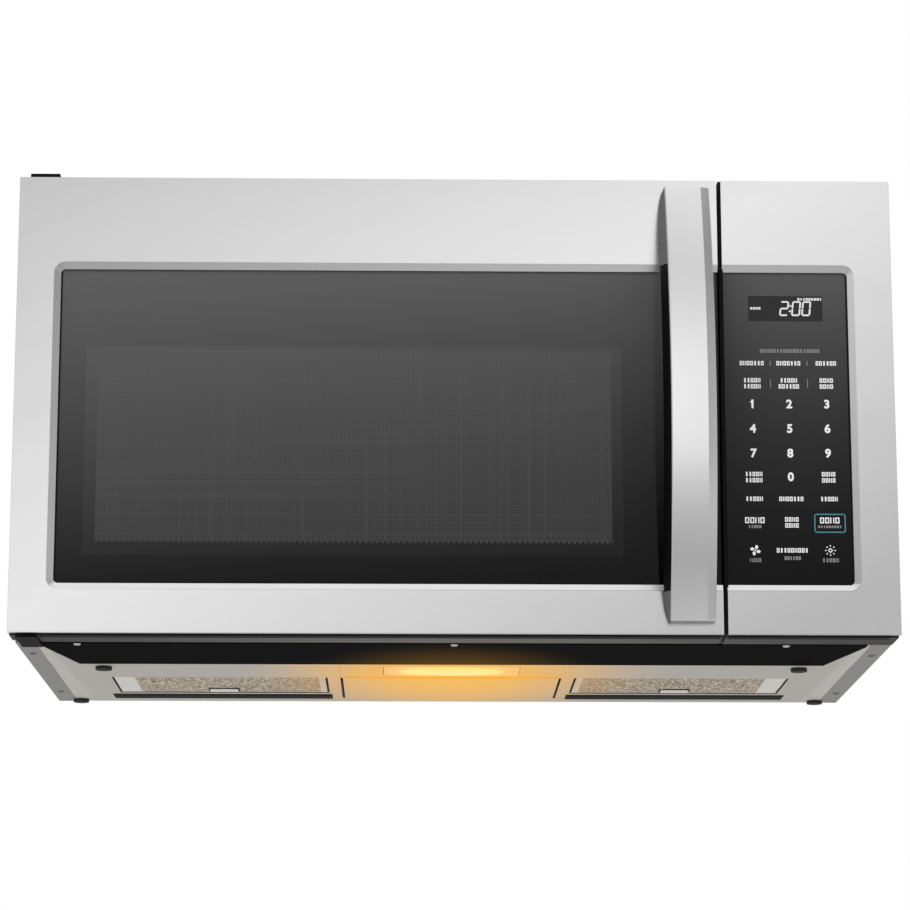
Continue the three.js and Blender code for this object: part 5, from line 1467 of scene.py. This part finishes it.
def filter_pad(low, left, right):
    """The mesh pad of one filter, between its two end strips."""
    shape = bmesh.new()
    flat_face(shape, ((left + right) / 2, (low.y + FILTER_REAR) / 2, low.z), right - left, FILTER_REAR - low.y,
              steps=PAD_STEPS)
    for corner in shape.verts:
        push = noise.noise(corner.co * 420) + 0.6 * noise.noise(corner.co * 900)
        corner.co.z += CRUMPLE * max(-0.3, min(1.0, push))
    bmesh.ops.recalc_face_normals(shape, faces=shape.faces)
    bmesh.ops.reverse_faces(shape, faces=[face for face in shape.faces if face.normal.z > 0])
    return shape


def filter_strips(low, high, left, right):
    """The folded strips at the ends of a filter."""
    shape = bmesh.new()
    for start, end in ((low.x + END_GAP, left), (right, high.x - END_GAP)):
        plate(shape, Vector((start, low.y, low.z - 0.35 * MM)), Vector((end, FILTER_REAR, low.z + 0.4 * MM)),
              radius=1 * MM, edge=0.2 * MM)
    return shape


def filter_joints(low, high):
    """The dark joints at the ends of a filter and round its pull tab."""
    shape = bmesh.new()
    for start, end in ((low.x, low.x + END_GAP), (high.x - END_GAP, high.x)):
        plate(shape, Vector((start, low.y, low.z - 0.1 * MM)), Vector((end, FILTER_REAR, low.z + 0.4 * MM)),
              edge=0.05 * MM)
    middle = (low.x + high.x) / 2
    plate(shape, Vector((middle - TAB_HALF - TAB_LINE, TAB_FRONT - TAB_LINE, 2.6 * MM)),
          Vector((middle + TAB_HALF + TAB_LINE, TAB_REAR + TAB_LINE, 3.5 * MM)), radius=4 * MM, edge=0.05 * MM)
    return shape


for name, left_strip, right_strip in (("left", STRIP_OUTER, STRIP_INNER), ("right", STRIP_INNER, STRIP_OUTER)):
    low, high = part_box(f"filter_frame_{name}")
    pad_left, pad_right = low.x + left_strip, high.x - right_strip
    body = f"filter_{name}"
    piece(f"filter_pad_{name}", filter_pad(low, pad_left, pad_right), body, "filter_metal", weave_metal)
    strips = filter_strips(low, high, pad_left, pad_right)
    even_shading(piece(f"filter_strips_{name}", strips, body, "filter_metal", strip_metal))
    piece(f"filter_joints_{name}", filter_joints(low, high), body, "filter_metal", finishes["black_paint"])

# %% [markdown]
# ## Joints and dark lines
# The slot between door and panel isn't open all the way: a black lip of the panel's housing stands in it,
# next to the panel. A slim block set a little behind the face gives it its shade.

# %% Lip in the split
LIP_SHARE = 0.68  # how much of the slot the lip fills
LIP_HIDDEN = 1 * MM  # how far it reaches behind the panel's steel
split_wide = panel_low.x - door_high.x
lip_low = Vector((panel_low.x - LIP_SHARE * split_wide, at_depth(1.8), panel_low.z + 0.5 * MM))
lip_high = Vector((panel_low.x + LIP_HIDDEN, at_depth(14), panel_high.z - 0.3 * MM))
lip = bmesh.new()
bmesh.ops.create_cube(lip, size=1)
bmesh.ops.scale(lip, vec=lip_high - lip_low, verts=lip.verts)
bmesh.ops.translate(lip, vec=(lip_low + lip_high) / 2, verts=lip.verts)
piece("split_lip", lip, "cabinet", "black_paint", finishes["black_paint"])
print("split", round(split_wide / MM, 2), "mm")

# %% [markdown]
# The finger slots behind the filters look into a duct, and a dark joint runs round the service panel. All are
# thin black plates set back in the pan, which catch no light from below; in the slots they are painted shade.

# %% Dark joint and painted shade in the slots
SHADED_SLOTS = ((112, 322, 337, 366), (114, 314, 325.8, 329.5))  # inner and outer end, front and rear
joints = bmesh.new()
plate(joints, place_under(-102.4, 238, 2.7), place_under(102.4, 358, 3.1), radius=2 * MM)
# Painted shade: black plates in the finger slots.
for side in (-1, 1):
    for inner, outer, front, rear in SHADED_SLOTS:
        left, right = sorted((side * inner, side * outer))
        plate(joints, place_under(left, front, 2.85), place_under(right, rear, 3.4))
piece("joint_and_slot_shade", joints, "cabinet", "black_paint", finishes["black_paint"])

# %% [markdown]
# Under the door and the panel a narrow black plate lies behind the steel's turned edge, one for each side of
# the slot. From below it shows as one dark line along the front.

# %% Dark line under the front
for name, body, left, right in (("door_underline", "door", -354 * MM, door_high.x - 1 * MM),
                                ("panel_underline", "cabinet", panel_low.x + 1 * MM, 372 * MM)):
    underline = bmesh.new()
    plate(underline, Vector((left, at_depth(10), 3.3 * MM)), Vector((right, at_depth(24), 3.7 * MM)))
    piece(name, underline, body, "black_plastic", finishes["black_paint"])

# %% [markdown]
# Each filter has a tab at its rear to pull it down by. It is a small plate with round corners, bright like
# the strips, and the dark joint round it was made with the filter.

# %% Pull tabs of the filters
for name in ("left", "right"):
    low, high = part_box(f"filter_frame_{name}")
    middle = (low.x + high.x) / 2
    tab = bmesh.new()
    plate(tab, Vector((middle - TAB_HALF, TAB_FRONT, 2.3 * MM)), Vector((middle + TAB_HALF, TAB_REAR, 3.3 * MM)),
          radius=3 * MM, edge=0.4 * MM)
    even_shading(piece(f"filter_tab_{name}", tab, f"filter_{name}", "filter_metal", strip_metal))

# %% [markdown]
# Screws hold the air panel, the side flanges, the cabinet's wrap and its top. Each head is a short cone
# with a small drive socket, made once facing down and turned to where it sits.

# %% Screws
SCREW_RADIUS, SCREW_HEIGHT = 3.4 * MM, 1.1 * MM
SCREW_TIP = 0.78  # the head's outer face, as a share of its radius
SOCKET_RIM, SOCKET_DEPTH = 0.4, 0.5  # shares of the head's radius and of its height
SUNK = 0.4  # how much of its height is drawn into the sheet
DOWN, UP = Vector((0, 0, -1)), Vector((0, 0, 1))
shell_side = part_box("cabinet_shell")[1].x - 0.15 * MM
AIR_SCREWS = [(place_under(x, 55, 3.05), DOWN) for x in (-326, 0, 288)]
FLANGE_SCREWS = [(place_under(side * 370, depth, 3.05), DOWN) for side in (-1, 1) for depth in (105, 323)]
SIDE_SCREWS = [(Vector((side * shell_side, at_depth(depth), height * MM)), Vector((side, 0, 0)))
               for side in (-1, 1) for depth in (62, 372) for height in (30, 376)]
TOP_SCREWS = [(place_under(x, depth, 402.95), UP) for x in (-350, -160, 160, 350) for depth in (66, 374)]


def screw(shape, at, facing):
    """A screw head on a sheet, facing away from it."""
    head = bmesh.new()
    turned = DOWN.rotation_difference(facing).to_matrix().to_4x4()
    bmesh.ops.create_cone(head, cap_ends=True, segments=20, radius1=SCREW_RADIUS * SCREW_TIP, radius2=SCREW_RADIUS,
                          depth=SCREW_HEIGHT, matrix=Matrix.Translation((0, 0, -SCREW_HEIGHT * SUNK)))
    lowest = min(head.faces, key=lambda face: face.calc_center_median().z)
    bmesh.ops.inset_individual(head, faces=[lowest], thickness=SCREW_RADIUS * SOCKET_RIM)
    bmesh.ops.translate(head, verts=lowest.verts, vec=(0, 0, SCREW_HEIGHT * SOCKET_DEPTH))
    bmesh.ops.transform(head, matrix=Matrix.Translation(at) @ turned, verts=head.verts)
    merge_into(shape, head)


# The flange screws take the darker copy of the steel, as painted shade of their dimples.
for name, places, finish in (("cabinet_screws", AIR_SCREWS + SIDE_SCREWS + TOP_SCREWS, screw_steel),
                             ("flange_screws", FLANGE_SCREWS, shaded_screw_steel)):
    heads = bmesh.new()
    for at, facing in places:
        screw(heads, at, facing)
    piece(name, heads, "cabinet", "stainless", finish)

# %% [markdown]
# ## The size
# The new pieces have to stay inside the box of the CAD model, or the oven would no longer fit its cabinet.
# The box of everything that is shown is printed.

# %% Print the visual box
low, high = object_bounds()
print("visual box", [round(v, 4) for v in low], [round(v, 4) for v in high])
